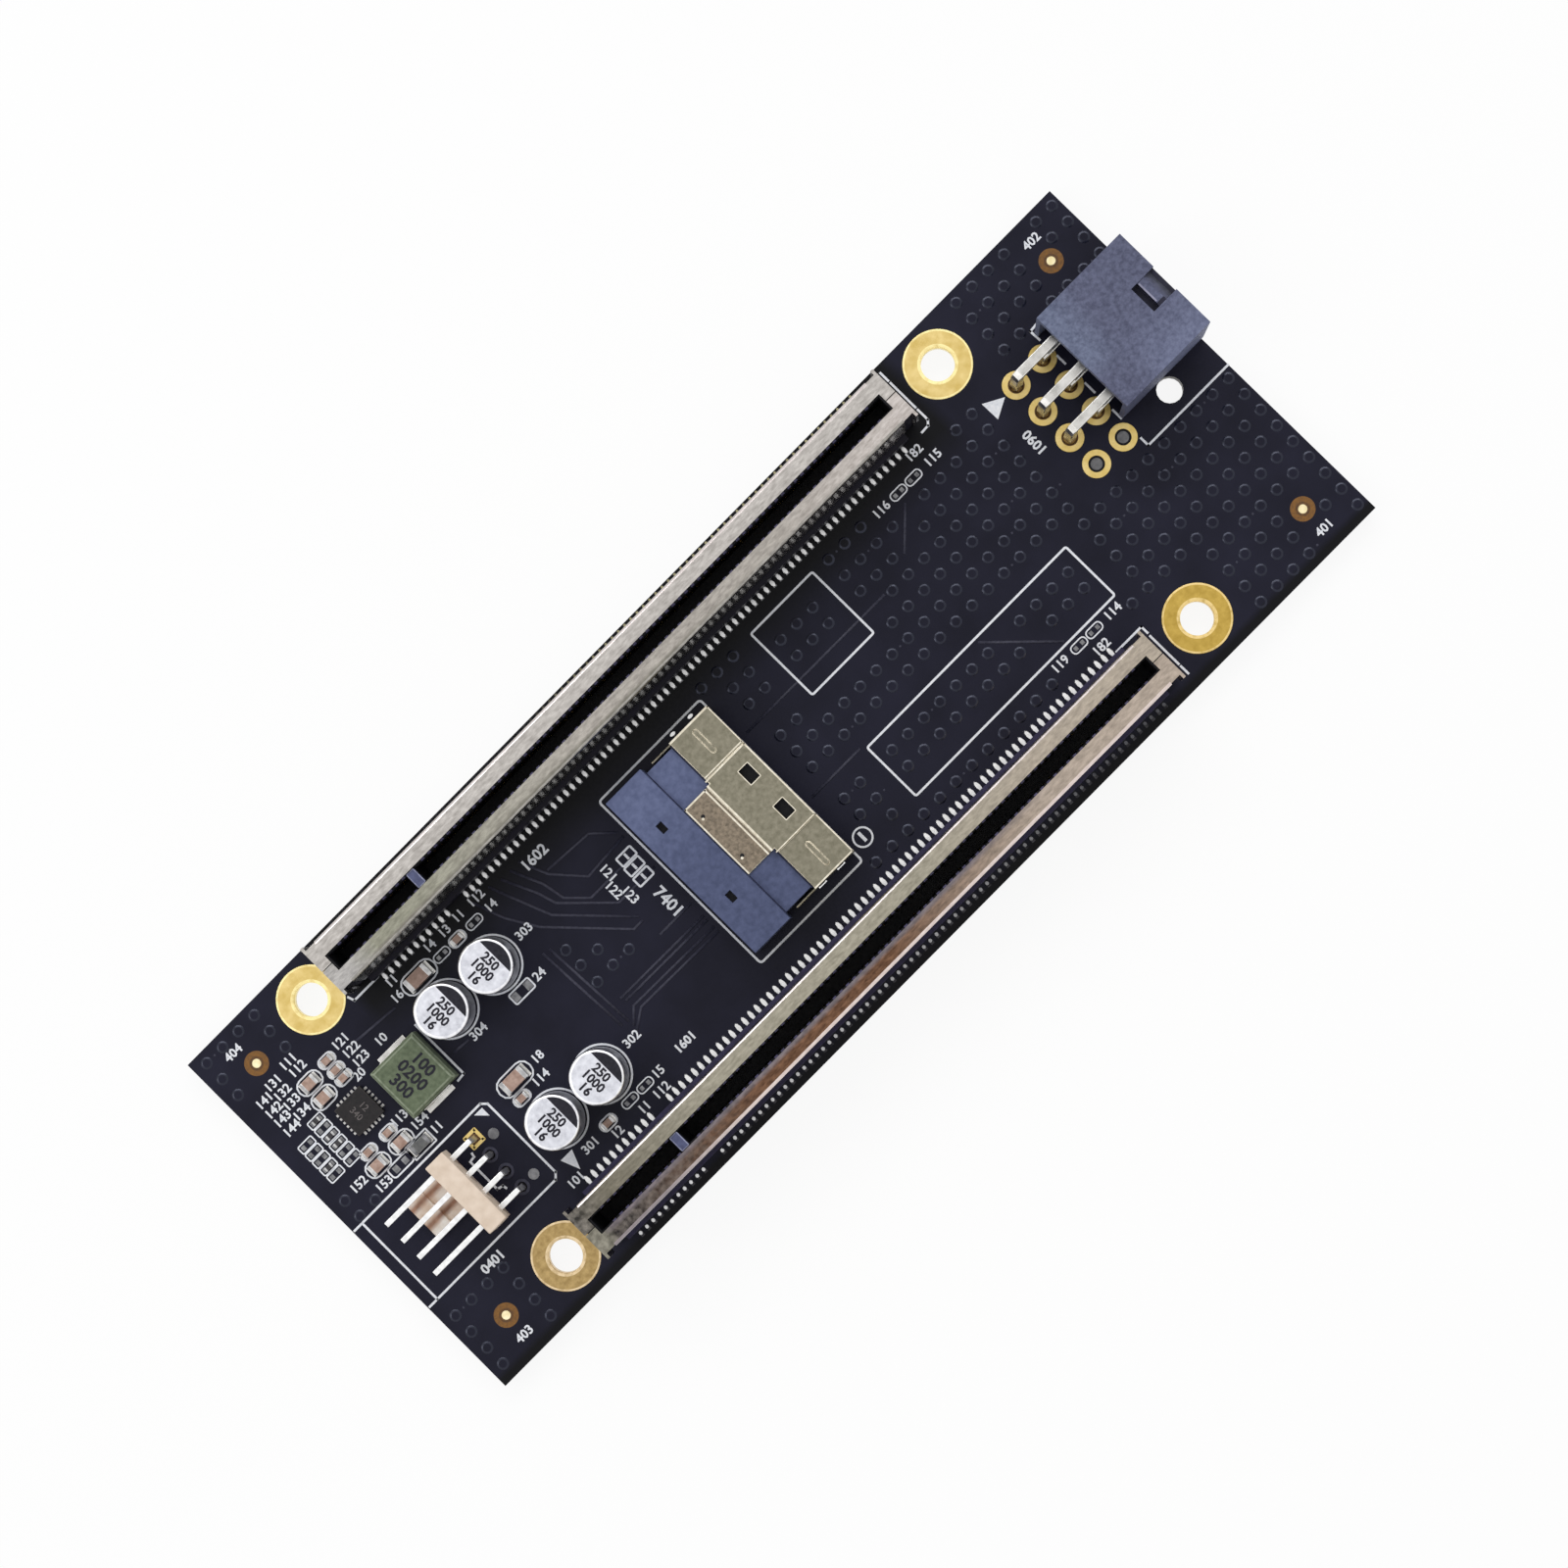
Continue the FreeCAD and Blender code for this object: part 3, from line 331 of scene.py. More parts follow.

# %% [markdown]
# One helper makes every ordinary finish: two near colours that the grain mixes, a roughness that follows
# the same grain, a very low relief, and where it is wanted a paler colour on edges, partly scuffing and
# partly painted highlight. A mark on the faces says where those edges are.

# %% The finish helper
EDGE_LAYER = "edge"
SCUFF_GRAIN = 1500.0


def finish(name, dark, light, rough, grain, metal=0.0, along=None, scuffed_highlit_colour=None, relief=0.01, shine=0.5):
    """An ordinary finish: mixed colours, roughness and relief from a grain or from streaks."""
    material = bpy.data.materials.new(name)
    material.use_nodes = True
    tree = material.node_tree
    shader = tree.nodes["Principled BSDF"]
    shader.inputs["Metallic"].default_value = metal
    shader.inputs["Specular IOR Level"].default_value = shine
    mask = pattern_mask(tree, grain, along)
    colour = colour_mix(tree, mask, paint(*dark), paint(*light))
    if scuffed_highlit_colour:
        edge = tree.nodes.new("ShaderNodeAttribute")
        edge.attribute_name = EDGE_LAYER
        scuff_and_highlight_mask = effect_node(tree, "edge_scuff_and_highlight", Scale=SCUFF_GRAIN)
        tree.links.new(edge.outputs["Fac"], scuff_and_highlight_mask.inputs["Edge"])
        colour = colour_mix(tree, scuff_and_highlight_mask.outputs["Mask"], colour, paint(*scuffed_highlit_colour))
    tree.links.new(colour, shader.inputs["Base Color"])
    tree.links.new(number_range(tree, mask, *rough), shader.inputs["Roughness"])
    low_relief(tree, shader, mask, relief)
    return material


print("finish helper ready, with edges marked as", EDGE_LAYER)

# %% [markdown]
# The board is lacquered copper on glass-fibre laminate. Its faces are blue-black lacquer with a faint
# cloud in it, and its sawn sides show the brown laminate in thin layers. The side is told from the face
# by the direction that the surface points in.

# %% Lacquer of the board
CLOUD_GRAIN = 160.0
PEEL_GRAIN = 2600.0
LAYER_GRAIN = 1000.0
LACQUER_SHINE = 0.14
LACQUER_ROUGH = (0.34, 0.46)
PEEL_HEIGHT = 0.006
lacquer = bpy.data.materials.new("black_lacquer")
lacquer.use_nodes = True
tree = lacquer.node_tree
shader = tree.nodes["Principled BSDF"]
shader.inputs["Specular IOR Level"].default_value = LACQUER_SHINE
cloud = effect_node(tree, "moulded_grain", Scale=CLOUD_GRAIN)
peel = effect_node(tree, "moulded_grain", Scale=PEEL_GRAIN)
layers = effect_node(tree, "drawn_streaks", Scale=LAYER_GRAIN, Along=(0.08, 0.08, 5.0))
face = colour_mix(tree, cloud.outputs["Mask"], paint(20, 20, 34), paint(30, 30, 46))
side = colour_mix(tree, layers.outputs["Mask"], paint(46, 40, 34), paint(84, 74, 58))
facing = tree.nodes.new("ShaderNodeNewGeometry")
upright = tree.nodes.new("ShaderNodeSeparateXYZ")
flat = tree.nodes.new("ShaderNodeMath")
flat.operation = "ABSOLUTE"
tree.links.new(facing.outputs["True Normal"], upright.inputs[0])
tree.links.new(upright.outputs["Z"], flat.inputs[0])
tree.links.new(colour_mix(tree, flat.outputs[0], side, face), shader.inputs["Base Color"])
tree.links.new(number_range(tree, peel.outputs["Mask"], *LACQUER_ROUGH), shader.inputs["Roughness"])
low_relief(tree, shader, peel.outputs["Mask"], PEEL_HEIGHT)

raised_lacquer = finish("raised_lacquer", (11, 11, 22), (17, 17, 30), (0.22, 0.34), PEEL_GRAIN, shine=0.5)
raised_lacquer.node_tree.nodes["Principled BSDF"].inputs["Specular Tint"].default_value = paint(222, 228, 255)
trace_lacquer = finish("trace_lacquer", (52, 52, 66), (68, 68, 82), (0.28, 0.4), PEEL_GRAIN, shine=0.18)
print("lacquer on the board, on raised dots and on traces")

# %% [markdown]
# What lies on the lacquer or shows through an opening in it: white ink, three tones of gold plating, bare
# laminate round the corner dots, and grey discs of painted shade in spare holes. The tones of gold differ
# because the plating has stained unevenly from one end of the card to the other.

# %% Ink, gold and laminate
white_ink = finish("white_ink", (220, 224, 232), (246, 247, 251), (0.55, 0.75), 3200.0, relief=0.006)
land_gold = finish("land_gold", (212, 184, 108), (230, 206, 140), (0.30, 0.42), 900.0, metal=1.0,
                   scuffed_highlit_colour=(252, 236, 172), relief=0.008)
brown_gold = finish("brown_gold", (156, 130, 84), (186, 159, 108), (0.30, 0.42), 1800.0, metal=1.0,
                    scuffed_highlit_colour=(228, 204, 164), relief=0.008)
mustard_gold = finish("mustard_gold", (178, 147, 68), (200, 169, 86), (0.30, 0.42), 1400.0, metal=1.0,
                      scuffed_highlit_colour=(238, 210, 144), relief=0.008)
cream_gold = finish("cream_gold", (232, 214, 160), (250, 238, 200), (0.3, 0.42), 1200.0, metal=1.0)
bare_laminate = finish("bare_laminate", (100, 64, 14), (132, 88, 26), (0.5, 0.65), 3000.0)
dark_laminate = finish("dark_laminate", (72, 44, 8), (100, 63, 14), (0.5, 0.65), 3000.0)
# grey discs of painted shade for the ground seen through spare holes
hole_shade_grey = finish("hole_shade_grey", (104, 104, 107), (134, 134, 136), (0.5, 0.65), 2200.0, shine=0.2)
pale_hole_shade = finish("pale_hole_shade", (128, 128, 131), (162, 162, 164), (0.5, 0.65), 2200.0, shine=0.2)
print("white ink, gold plating and bare laminate made")

# %% [markdown]
# The metals are bright, so most of what they show is the white studio. What makes each one itself is its
# tint and its streaks: the slot armour is cold-rolled steel with a warm nickel tint, streaked along the
# slot, and the cable socket's shell is an olive satin nickel.

# %% Metal finishes
ALONG_SLOT = (0.35, 1.0, 1.0)
STEEL_GRAIN = 3400.0
STEEL_ROUGH = (0.16, 0.3)
FOLD_ROUGH = (0.2, 0.32)


def armour_steel(name, dark, light, scuffed_highlit_colour):
    """The sheet steel of a slot's armour, with short streaks along the slot."""
    return finish(name, dark, light, STEEL_ROUGH, STEEL_GRAIN, metal=1.0, along=ALONG_SLOT, scuffed_highlit_colour=scuffed_highlit_colour,
                  relief=0.006)


upper_outer_steel = armour_steel("upper_outer_steel", (164, 159, 154), (208, 203, 198), (226, 221, 215))
upper_inner_steel = armour_steel("upper_inner_steel", (146, 140, 134), (190, 184, 176), (220, 214, 206))
lower_inner_steel = armour_steel("lower_inner_steel", (140, 135, 120), (178, 172, 156), (230, 222, 212))
lower_outer_steel = armour_steel("lower_outer_steel", (152, 140, 128), (192, 177, 163), (228, 214, 206))
# each fold has its own copy of the steel, lighter or darker, as a painted highlight along the fold
white_highlight_fold = finish("white_highlight_fold", (196, 186, 184), (226, 216, 214), FOLD_ROUGH, STEEL_GRAIN, metal=1.0,
                    along=ALONG_SLOT, scuffed_highlit_colour=(236, 229, 227))
grey_highlight_fold = finish("grey_highlight_fold", (130, 127, 122), (186, 182, 176), FOLD_ROUGH, STEEL_GRAIN, metal=1.0,
                   along=ALONG_SLOT, scuffed_highlit_colour=(214, 210, 205))
rosy_highlight_fold = finish("rosy_highlight_fold", (206, 188, 182), (236, 222, 216), FOLD_ROUGH, STEEL_GRAIN, metal=1.0,
                   along=ALONG_SLOT, scuffed_highlit_colour=(242, 232, 228))
shell_nickel = finish("shell_nickel", (120, 116, 100), (143, 138, 122), (0.36, 0.5), 1800.0, metal=1.0,
                      scuffed_highlit_colour=(228, 218, 196), relief=0.008)
tongue_nickel = finish("tongue_nickel", (106, 97, 85), (146, 133, 117), (0.42, 0.58), 2600.0, metal=1.0,
                       relief=0.05)
highlight_nickel = finish("highlight_nickel", (214, 204, 182), (242, 236, 220), (0.25, 0.4), 2000.0,
                          metal=1.0)
bright_tin = finish("bright_tin", (196, 194, 190), (238, 236, 232), (0.22, 0.4), 1500.0, metal=1.0,
                    scuffed_highlit_colour=(246, 246, 244), relief=0.01)
pin_tin = finish("pin_tin", (184, 182, 178), (222, 220, 216), (0.22, 0.36), 900.0, metal=1.0,
                 scuffed_highlit_colour=(240, 239, 236))
white_tin = finish("white_tin", (226, 226, 226), (250, 250, 250), (0.3, 0.45), 1500.0, metal=1.0)
cap_tin = finish("cap_tin", (158, 158, 160), (210, 209, 208), (0.3, 0.45), 1500.0, metal=1.0,
                 scuffed_highlit_colour=(226, 226, 226))
dull_tin = finish("dull_tin", (96, 96, 99), (148, 148, 150), (0.35, 0.5), 1800.0, metal=1.0)
solder = finish("solder", (150, 148, 146), (206, 204, 202), (0.28, 0.46), 1400.0, metal=1.0, relief=0.03)
dark_solder = finish("dark_solder", (34, 33, 36), (72, 71, 74), (0.25, 0.4), 1600.0, metal=1.0, relief=0.03)
flux_gold = finish("flux_gold", (58, 42, 20), (138, 110, 66), (0.3, 0.46), 2400.0, metal=1.0, relief=0.04)
can_aluminium = finish("can_aluminium", (202, 203, 211), (229, 230, 237), (0.26, 0.4), 1500.0, metal=1.0,
                       scuffed_highlit_colour=(248, 248, 251), relief=0.006)
print(len(bpy.data.materials), "finishes so far")

# %% [markdown]
# Mouldings, ceramics and printed films don't conduct, so they are not metal, and their shine is low. Each has
# a fine grain, as such surfaces take it from their tool. Darker copies of a colour are painted shade, for
# pockets and for the deep sides of a moulding.

# %% Plastic, ceramic and ink finishes
black_ink = finish("black_ink", (26, 26, 34), (44, 43, 52), (0.5, 0.62), 2400.0, shine=0.2)
slot_black = finish("slot_black", (16, 16, 20), (26, 26, 31), (0.45, 0.6), 2600.0, shine=0.2)
slot_navy = finish("slot_navy", (38, 35, 58), (52, 48, 78), (0.45, 0.6), 1800.0, shine=0.25)
slot_shade = finish("slot_shade", (17, 16, 24), (27, 25, 38), (0.45, 0.6), 1800.0, shine=0.2)
tooth_navy = finish("tooth_navy", (60, 58, 84), (80, 76, 108), (0.45, 0.6), 2600.0, shine=0.3)
bridge_blue = finish("bridge_blue", (64, 68, 100), (86, 92, 128), (0.4, 0.55), 1800.0,
                     scuffed_highlit_colour=(160, 164, 194), shine=0.4)
socket_blue = finish("socket_blue", (68, 76, 106), (86, 94, 127), (0.5, 0.64), 1500.0, relief=0.02,
                     shine=0.25)
socket_shade = finish("socket_shade", (36, 40, 62), (48, 52, 78), (0.5, 0.64), 1500.0, shine=0.2)
header_slate = finish("header_slate", (72, 75, 98), (104, 108, 134), (0.5, 0.66), 2300.0, relief=0.03,
                      shine=0.25)
pocket_shade = finish("pocket_shade", (34, 34, 48), (46, 46, 64), (0.5, 0.62), 1200.0, shine=0.2)
highlight_slate = finish("highlight_slate", (132, 132, 154), (158, 158, 180), (0.4, 0.55), 1800.0, shine=0.3)
ramp_colour_and_shade = finish("ramp_colour_and_shade", (74, 76, 98), (98, 101, 126), (0.5, 0.62), 1800.0, shine=0.2)
core_green = finish("core_green", (84, 95, 73), (111, 122, 98), (0.55, 0.7), 2000.0,
                    scuffed_highlit_colour=(140, 149, 128), relief=0.03, shine=0.3)
chip_black = finish("chip_black", (24, 22, 24), (42, 39, 40), (0.5, 0.66), 2600.0, scuffed_highlit_colour=(66, 62, 62),
                    shine=0.25)
chip_ink = finish("chip_ink", (84, 79, 79), (114, 108, 107), (0.5, 0.66), 2600.0, shine=0.2)
ceramic_tan = finish("ceramic_tan", (148, 118, 104), (188, 160, 146), (0.4, 0.55), 1800.0,
                     scuffed_highlit_colour=(204, 180, 168))
film_black = finish("film_black", (30, 29, 32), (48, 46, 50), (0.35, 0.5), 2400.0, scuffed_highlit_colour=(92, 90, 92))
fuse_grey = finish("fuse_grey", (72, 73, 74), (100, 101, 101), (0.5, 0.62), 2000.0, scuffed_highlit_colour=(150, 152, 150))
print(len(bpy.data.materials), "finishes in all")

# %% [markdown]
# Some finishes change with the place on the piece. A mask from the Object coordinates mixes a second pair of
# colours over the first. It can run along an axis, or away from a middle line on both sides of the card, and
# it can be kept within a second stretch.

# %% Tint by place
SLOT_FROM_MIDDLE = 20.32


def place_mask(tree, axis, start_mm, end_mm, middle_mm=None):
    """A mask that goes from nought to one along an axis, or away from two middle lines, one on each side."""
    place = tree.nodes.new("ShaderNodeTexCoord")
    split = tree.nodes.new("ShaderNodeSeparateXYZ")
    tree.links.new(place.outputs["Object"], split.inputs[0])
    value = split.outputs[axis]
    if middle_mm is not None:
        for operation, other in (("ABSOLUTE", 0.0), ("SUBTRACT", middle_mm * MM), ("ABSOLUTE", 0.0)):
            step = tree.nodes.new("ShaderNodeMath")
            step.operation = operation
            step.inputs[1].default_value = other
            tree.links.new(value, step.inputs[0])
            value = step.outputs[0]
    spread = tree.nodes.new("ShaderNodeMapRange")
    spread.inputs["From Min"].default_value = start_mm * MM
    spread.inputs["From Max"].default_value = end_mm * MM
    tree.links.new(value, spread.inputs["Value"])
    return spread.outputs["Result"]


def tint_by_place(material, dark, light, grain, place, along=None, within=None):
    """Mix a second pair of colours over a finish along a stretch, and only within another if one is given."""
    tree = material.node_tree
    shader = tree.nodes["Principled BSDF"]
    first = shader.inputs["Base Color"].links[0].from_socket
    second = colour_mix(tree, pattern_mask(tree, grain, along), paint(*dark), paint(*light))
    mask = place_mask(tree, *place)
    if within:
        both = tree.nodes.new("ShaderNodeMath")
        both.operation = "MULTIPLY"
        tree.links.new(mask, both.inputs[0])
        tree.links.new(place_mask(tree, *within), both.inputs[1])
        mask = both.outputs[0]
    tree.links.new(colour_mix(tree, mask, first, second), shader.inputs["Base Color"])


print("tint helper ready, slots", SLOT_FROM_MIDDLE, "mm from the middle")

# %% [markdown]
# The springs of a slot are gold where a card touches them, and where they are soldered beside the slot
# they are painted near black as painted shade. On the fan header's thin, low tongue a paler beige is mottled
# with brown painted shade, and two red-brown lines are painted shadows of the pins above it. The lacquer
# has painted shade beside the upper slot and along the lower edge.

# %% Tints of contacts, mouldings and lacquer
spring_gold = finish("spring_gold", (196, 160, 84), (224, 194, 120), (0.24, 0.36), 1600.0, metal=1.0)
contact_gold = finish("contact_gold", (196, 160, 84), (224, 194, 120), (0.24, 0.36), 1600.0, metal=1.0)
# beyond the housing the springs are painted near black, as painted shade beside the slot
tint_by_place(contact_gold, (20, 20, 22), (42, 42, 45), 1600.0, ("Y", 2.1, 2.3, SLOT_FROM_MIDDLE))
fan_beige = finish("fan_beige", (222, 202, 182), (238, 220, 202), (0.45, 0.58), 900.0, shine=0.35)
THIN_PART = ("Z", 5.2, 4.2)
# the thin, low tongue gets a paler beige mottled with brown painted shade
tint_by_place(fan_beige, (218, 186, 158), (255, 250, 242), 420.0, THIN_PART)
# two red-brown lines of painted shadow, cast by the pins above the tongue
for pin_shadow_y in (4.65, 7.2):
    tint_by_place(fan_beige, (132, 94, 74), (180, 138, 114), 900.0, ("Y", 0.66, 0.12, pin_shadow_y), None,
                  THIN_PART)
fading_tin = finish("fading_tin", (214, 214, 214), (244, 244, 244), (0.3, 0.45), 1500.0, metal=1.0)
tint_by_place(fading_tin, (66, 66, 70), (104, 104, 108), 1500.0, ("X", -36.0, 30.0))
edge_tan = finish("edge_tan", (132, 126, 98), (172, 166, 132), (0.35, 0.5), 1500.0, metal=1.0)
tint_by_place(edge_tan, (26, 26, 32), (44, 44, 50), 1500.0, ("X", 6.0, -12.0))
tint_by_place(socket_blue, (86, 95, 129), (105, 114, 149), 1500.0, ("Y", 0.0, 9.0))
# the ramp is painted darker towards the front edge, as painted shade
tint_by_place(ramp_colour_and_shade, (50, 52, 60), (72, 74, 84), 1800.0, ("X", 71.6, 72.5))
# two lighter patches on the top of the power header are painted reflection
tint_by_place(header_slate, (92, 97, 124), (120, 126, 154), 2300.0, ("Y", 8.0, 2.0), None,
              ("X", 63.0, 67.0))
tint_by_place(header_slate, (88, 95, 120), (120, 128, 154), 2300.0, ("X", 65.0, 61.5), None,
              ("Y", 5.0, 8.0))
# painted shade on the lacquer beside the upper slot and along the lower edge
tint_by_place(lacquer, (3, 3, 6), (8, 8, 13), CLOUD_GRAIN, ("Y", 10.5, 15.0), None, ("X", 47.0, 45.5, 0.0))
tint_by_place(lacquer, (4, 4, 7), (9, 9, 14), CLOUD_GRAIN, ("Y", -24.2, -25.0))
print("tints of contacts, mouldings and lacquer mixed")

# %% [markdown]
# The armour of both slots changes in tone along its length, from a warm to a cold grey. The outer half of
# the lower slot carries a painted copper-brown reflection along part of its length and a lilac-grey painted
# highlight by the mouth, and both its halves are dull and mottled at one end.

# %% Tints of the armour
tint_by_place(upper_inner_steel, (132, 131, 117), (166, 165, 149), STEEL_GRAIN, ("X", -6.0, -34.0),
              ALONG_SLOT)
tint_by_place(upper_inner_steel, (116, 113, 104), (146, 142, 132), STEEL_GRAIN,
              ("Y", 2.3, 2.6, SLOT_FROM_MIDDLE), ALONG_SLOT, ("X", 24.0, 4.0))
# a painted copper-brown reflection on the outer half of the lower slot
tint_by_place(lower_outer_steel, (78, 55, 42), (134, 100, 78), STEEL_GRAIN, ("X", 24.0, 0.0), ALONG_SLOT)
tint_by_place(lower_outer_steel, (46, 43, 43), (122, 114, 108), 1500.0, ("X", -20.0, -40.0))
# a lilac-grey painted highlight along the mouth edge of the same half
tint_by_place(lower_outer_steel, (100, 94, 97), (138, 128, 132), STEEL_GRAIN,
              ("Y", 1.75, 1.3, SLOT_FROM_MIDDLE), ALONG_SLOT, ("X", 26.0, 12.0))
tint_by_place(upper_inner_steel, (172, 164, 158), (214, 206, 202), STEEL_GRAIN, ("X", 22.0, 42.0), ALONG_SLOT)
tint_by_place(upper_inner_steel, (154, 151, 149), (200, 197, 194), STEEL_GRAIN, ("X", -39.0, -43.0),
              ALONG_SLOT)
tint_by_place(lower_outer_steel, (102, 99, 89), (154, 150, 137), 1500.0, ("X", -42.6, -43.8))
# the painted highlight of the rosy fold is dimmer towards one end
tint_by_place(rosy_highlight_fold, (134, 125, 128), (164, 154, 157), STEEL_GRAIN, ("X", -22.0, -36.0), ALONG_SLOT)
tint_by_place(lower_inner_steel, (152, 142, 130), (192, 180, 164), STEEL_GRAIN, ("X", 8.0, 26.0), ALONG_SLOT)
tint_by_place(lower_inner_steel, (98, 94, 82), (134, 128, 114), STEEL_GRAIN, ("X", -24.0, -40.0), ALONG_SLOT)
tint_by_place(lower_inner_steel, (56, 54, 52), (140, 134, 126), 1500.0, ("X", -40.0, -44.5))
print("tints of the armour mixed")

# %% [markdown]
# ## How pieces are made
# Three ways cover the whole card. A softened copy takes a solid, merges its loose triangles and bevels its
# sharp edges, because no moulded or folded edge is perfectly sharp. A stamp is a small mesh that is pressed
# on to the board many times, such as a dot or a digit. A turned piece is a profile that is spun.

# %% Making pieces
MERGE = 0.002
FLAT_WITHIN = 0.5


def make_piece(name, shape, finishes, replaced=()):
    """Turn a bmesh in millimetres into a piece of the card."""
    bmesh.ops.scale(shape, vec=(MM, MM, MM), verts=shape.verts)
    mesh = bpy.data.meshes.new(name)
    shape.to_mesh(mesh)
    shape.free()
    piece = bpy.data.objects.new(name, mesh)
    bpy.context.scene.collection.objects.link(piece)
    for material in finishes:
        mesh.materials.append(material)
    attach(piece, "root")
    if replaced:
        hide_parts(*replaced)
    print(name, len(mesh.polygons), "faces")
    return piece


def solid_as_bmesh(node):
    """A copy of a solid in millimetres, with its loose triangles merged into whole faces."""
    shape = bmesh.new()
    shape.from_mesh(nodes[node].data)
    bmesh.ops.scale(shape, vec=(1 / MM, 1 / MM, 1 / MM), verts=shape.verts)
    bmesh.ops.remove_doubles(shape, verts=shape.verts, dist=MERGE)
    bmesh.ops.dissolve_limit(shape, angle_limit=math.radians(FLAT_WITHIN), use_dissolve_boundaries=False,
                             verts=shape.verts, edges=shape.edges, delimit=set())
    return shape


print("solids are merged within", MERGE, "mm")

# %% [markdown]
# Softening bevels the sharp edges and marks the new narrow faces for a pale colour, partly scuffing and
# partly painted highlight. A bevel can push a corner out a little, so every vertex is held inside the box
# that the shape had before. A second helper marks such faces by a test, for pieces that are turned and need
# no bevel.

# %% Softened copies
SHARP_FROM = 30.0
SOFT_ROUNDS = 2


def soften(shape, width, sharp_from=SHARP_FROM):
    """Bevel the sharp edges inside the shape's own box, and mark them for a pale colour of scuffing and
    painted highlight.
    """
    low = [min(vert.co[axis] for vert in shape.verts) for axis in range(3)]
    high = [max(vert.co[axis] for vert in shape.verts) for axis in range(3)]
    layer = shape.faces.layers.float.new(EDGE_LAYER)
    sharp = [edge for edge in shape.edges
             if edge.is_manifold and edge.calc_face_angle() > math.radians(sharp_from)]
    made = bmesh.ops.bevel(shape, geom=sharp, offset=width, offset_type="OFFSET", affect="EDGES",
                           segments=SOFT_ROUNDS, profile=0.5, material=-1, clamp_overlap=True)
    for face in made["faces"]:
        face[layer] = 1.0
        face.smooth = True
    for vert in shape.verts:
        vert.co = [min(max(value, least), most) for value, least, most in zip(vert.co, low, high)]


def mark_scuff_and_highlight(shape, gets_scuff_and_highlight):
    """Mark the faces for a pale colour of scuffing and painted highlight, chosen by a test on each face."""
    layer = shape.faces.layers.float.new(EDGE_LAYER)
    for face in shape.faces:
        face[layer] = 1.0 if gets_scuff_and_highlight(face) else 0.0


def softened_copy(name, node, width, material, sharp_from=SHARP_FROM):
    """A copy of a solid with softened edges that stands for it."""
    shape = solid_as_bmesh(node)
    soften(shape, width, sharp_from)
    return make_piece(name, shape, [material], [node])


print("edges sharper than", SHARP_FROM, "degrees are softened")

# %% [markdown]
# One node can hold many separate solids, such as all the chips of one size. Their boxes are found by walking
# from vertex to vertex until a solid is used up, so that print and lands can be set round each one.

# %% Boxes of separate solids


def solids_in(node):
    """Lowest and highest corner of every separate solid of a node, in millimetres."""
    shape = bmesh.new()
    shape.from_mesh(nodes[node].data)
    bmesh.ops.remove_doubles(shape, verts=shape.verts, dist=MERGE * MM)
    left = set(shape.verts)
    boxes = []
    while left:
        reach = [left.pop()]
        corners = []
        while reach:
            vert = reach.pop()
            corners.append(vert.co / MM)
            for edge in vert.link_edges:
                other = edge.other_vert(vert)
                if other in left:
                    left.remove(other)
                    reach.append(other)
        low = Vector([min(corner[axis] for corner in corners) for axis in range(3)])
        high = Vector([max(corner[axis] for corner in corners) for axis in range(3)])
        boxes.append((low, high))
    shape.free()
    return sorted(boxes, key=lambda box: (round(box[0].x, 3), round(box[0].y, 3)))


print(len(solids_in("upper_slot_inner_contacts")), "springs in one row of a slot")

# %% [markdown]
# Stamps are built once in millimetres round their own centre, and pressed down wherever they are needed.
# The mesh itself is moved there and back, which is quick even for hundreds of copies. A negative height turns
# a stamp over for the underside of the board.

# %% Pressing stamps
TURNED_OVER = (1.0, 1.0, -1.0)


def as_stamp(shape):
    """Keep a small bmesh as a mesh that can be pressed many times."""
    bmesh.ops.recalc_face_normals(shape, faces=shape.faces)
    mesh = bpy.data.meshes.new("stamp")
    shape.to_mesh(mesh)
    shape.free()
    return mesh


def press(shape, stamp, x, y, z=0.0, turn=0.0, size=(1.0, 1.0, 1.0)):
    """Press a stamp into a bmesh at a place, turned in degrees and sized along its own axes."""
    move = Matrix.Translation((x, y, z)) @ Matrix.Rotation(math.radians(turn), 4, "Z")
    move = move @ Matrix.Diagonal((*size, 1.0))
    stamp.transform(move)
    shape.from_mesh(stamp)
    stamp.transform(move.inverted())


def press_once(shape, stamp, x, y, z=0.0, turn=0.0):
    """Press a stamp that is needed only here, and throw it away."""
    press(shape, stamp, x, y, z, turn)
    bpy.data.meshes.remove(stamp)


print("stamps can be pressed")

# %% [markdown]
# Most stamps are one of four: a block, a round button, a ring and a frame. The block and the button come from
# a cube and a cone. The ring is a section that is spun. The frame is a flat plate with rounded corners whose
# middle is inset and taken out before it gets its height.

# %% Blocks and buttons
TOP_SHARE = 0.9
SOFT_SHARE = 0.12


def block_stamp(bevel=0.0):
    """A unit block that stands on its base."""
    shape = bmesh.new()
    bmesh.ops.create_cube(shape, size=1.0)
    bmesh.ops.translate(shape, verts=shape.verts, vec=(0.0, 0.0, 0.5))
    if bevel:
        tops = [edge for edge in shape.edges if all(vert.co.z > TOP_SHARE for vert in edge.verts)]
        bmesh.ops.bevel(shape, geom=tops, offset=bevel, affect="EDGES", segments=1, profile=0.5,
                        material=-1)
    return as_stamp(shape)


def disc_stamp(foot, top, height, sides):
    """A round button with a sloping side."""
    shape = bmesh.new()
    bmesh.ops.create_cone(shape, cap_ends=True, cap_tris=False, segments=sides, radius1=foot, radius2=top,
                          depth=height)
    bmesh.ops.translate(shape, verts=shape.verts, vec=(0.0, 0.0, height / 2))
    return as_stamp(shape)


unit_block = block_stamp()
soft_block = block_stamp(SOFT_SHARE)


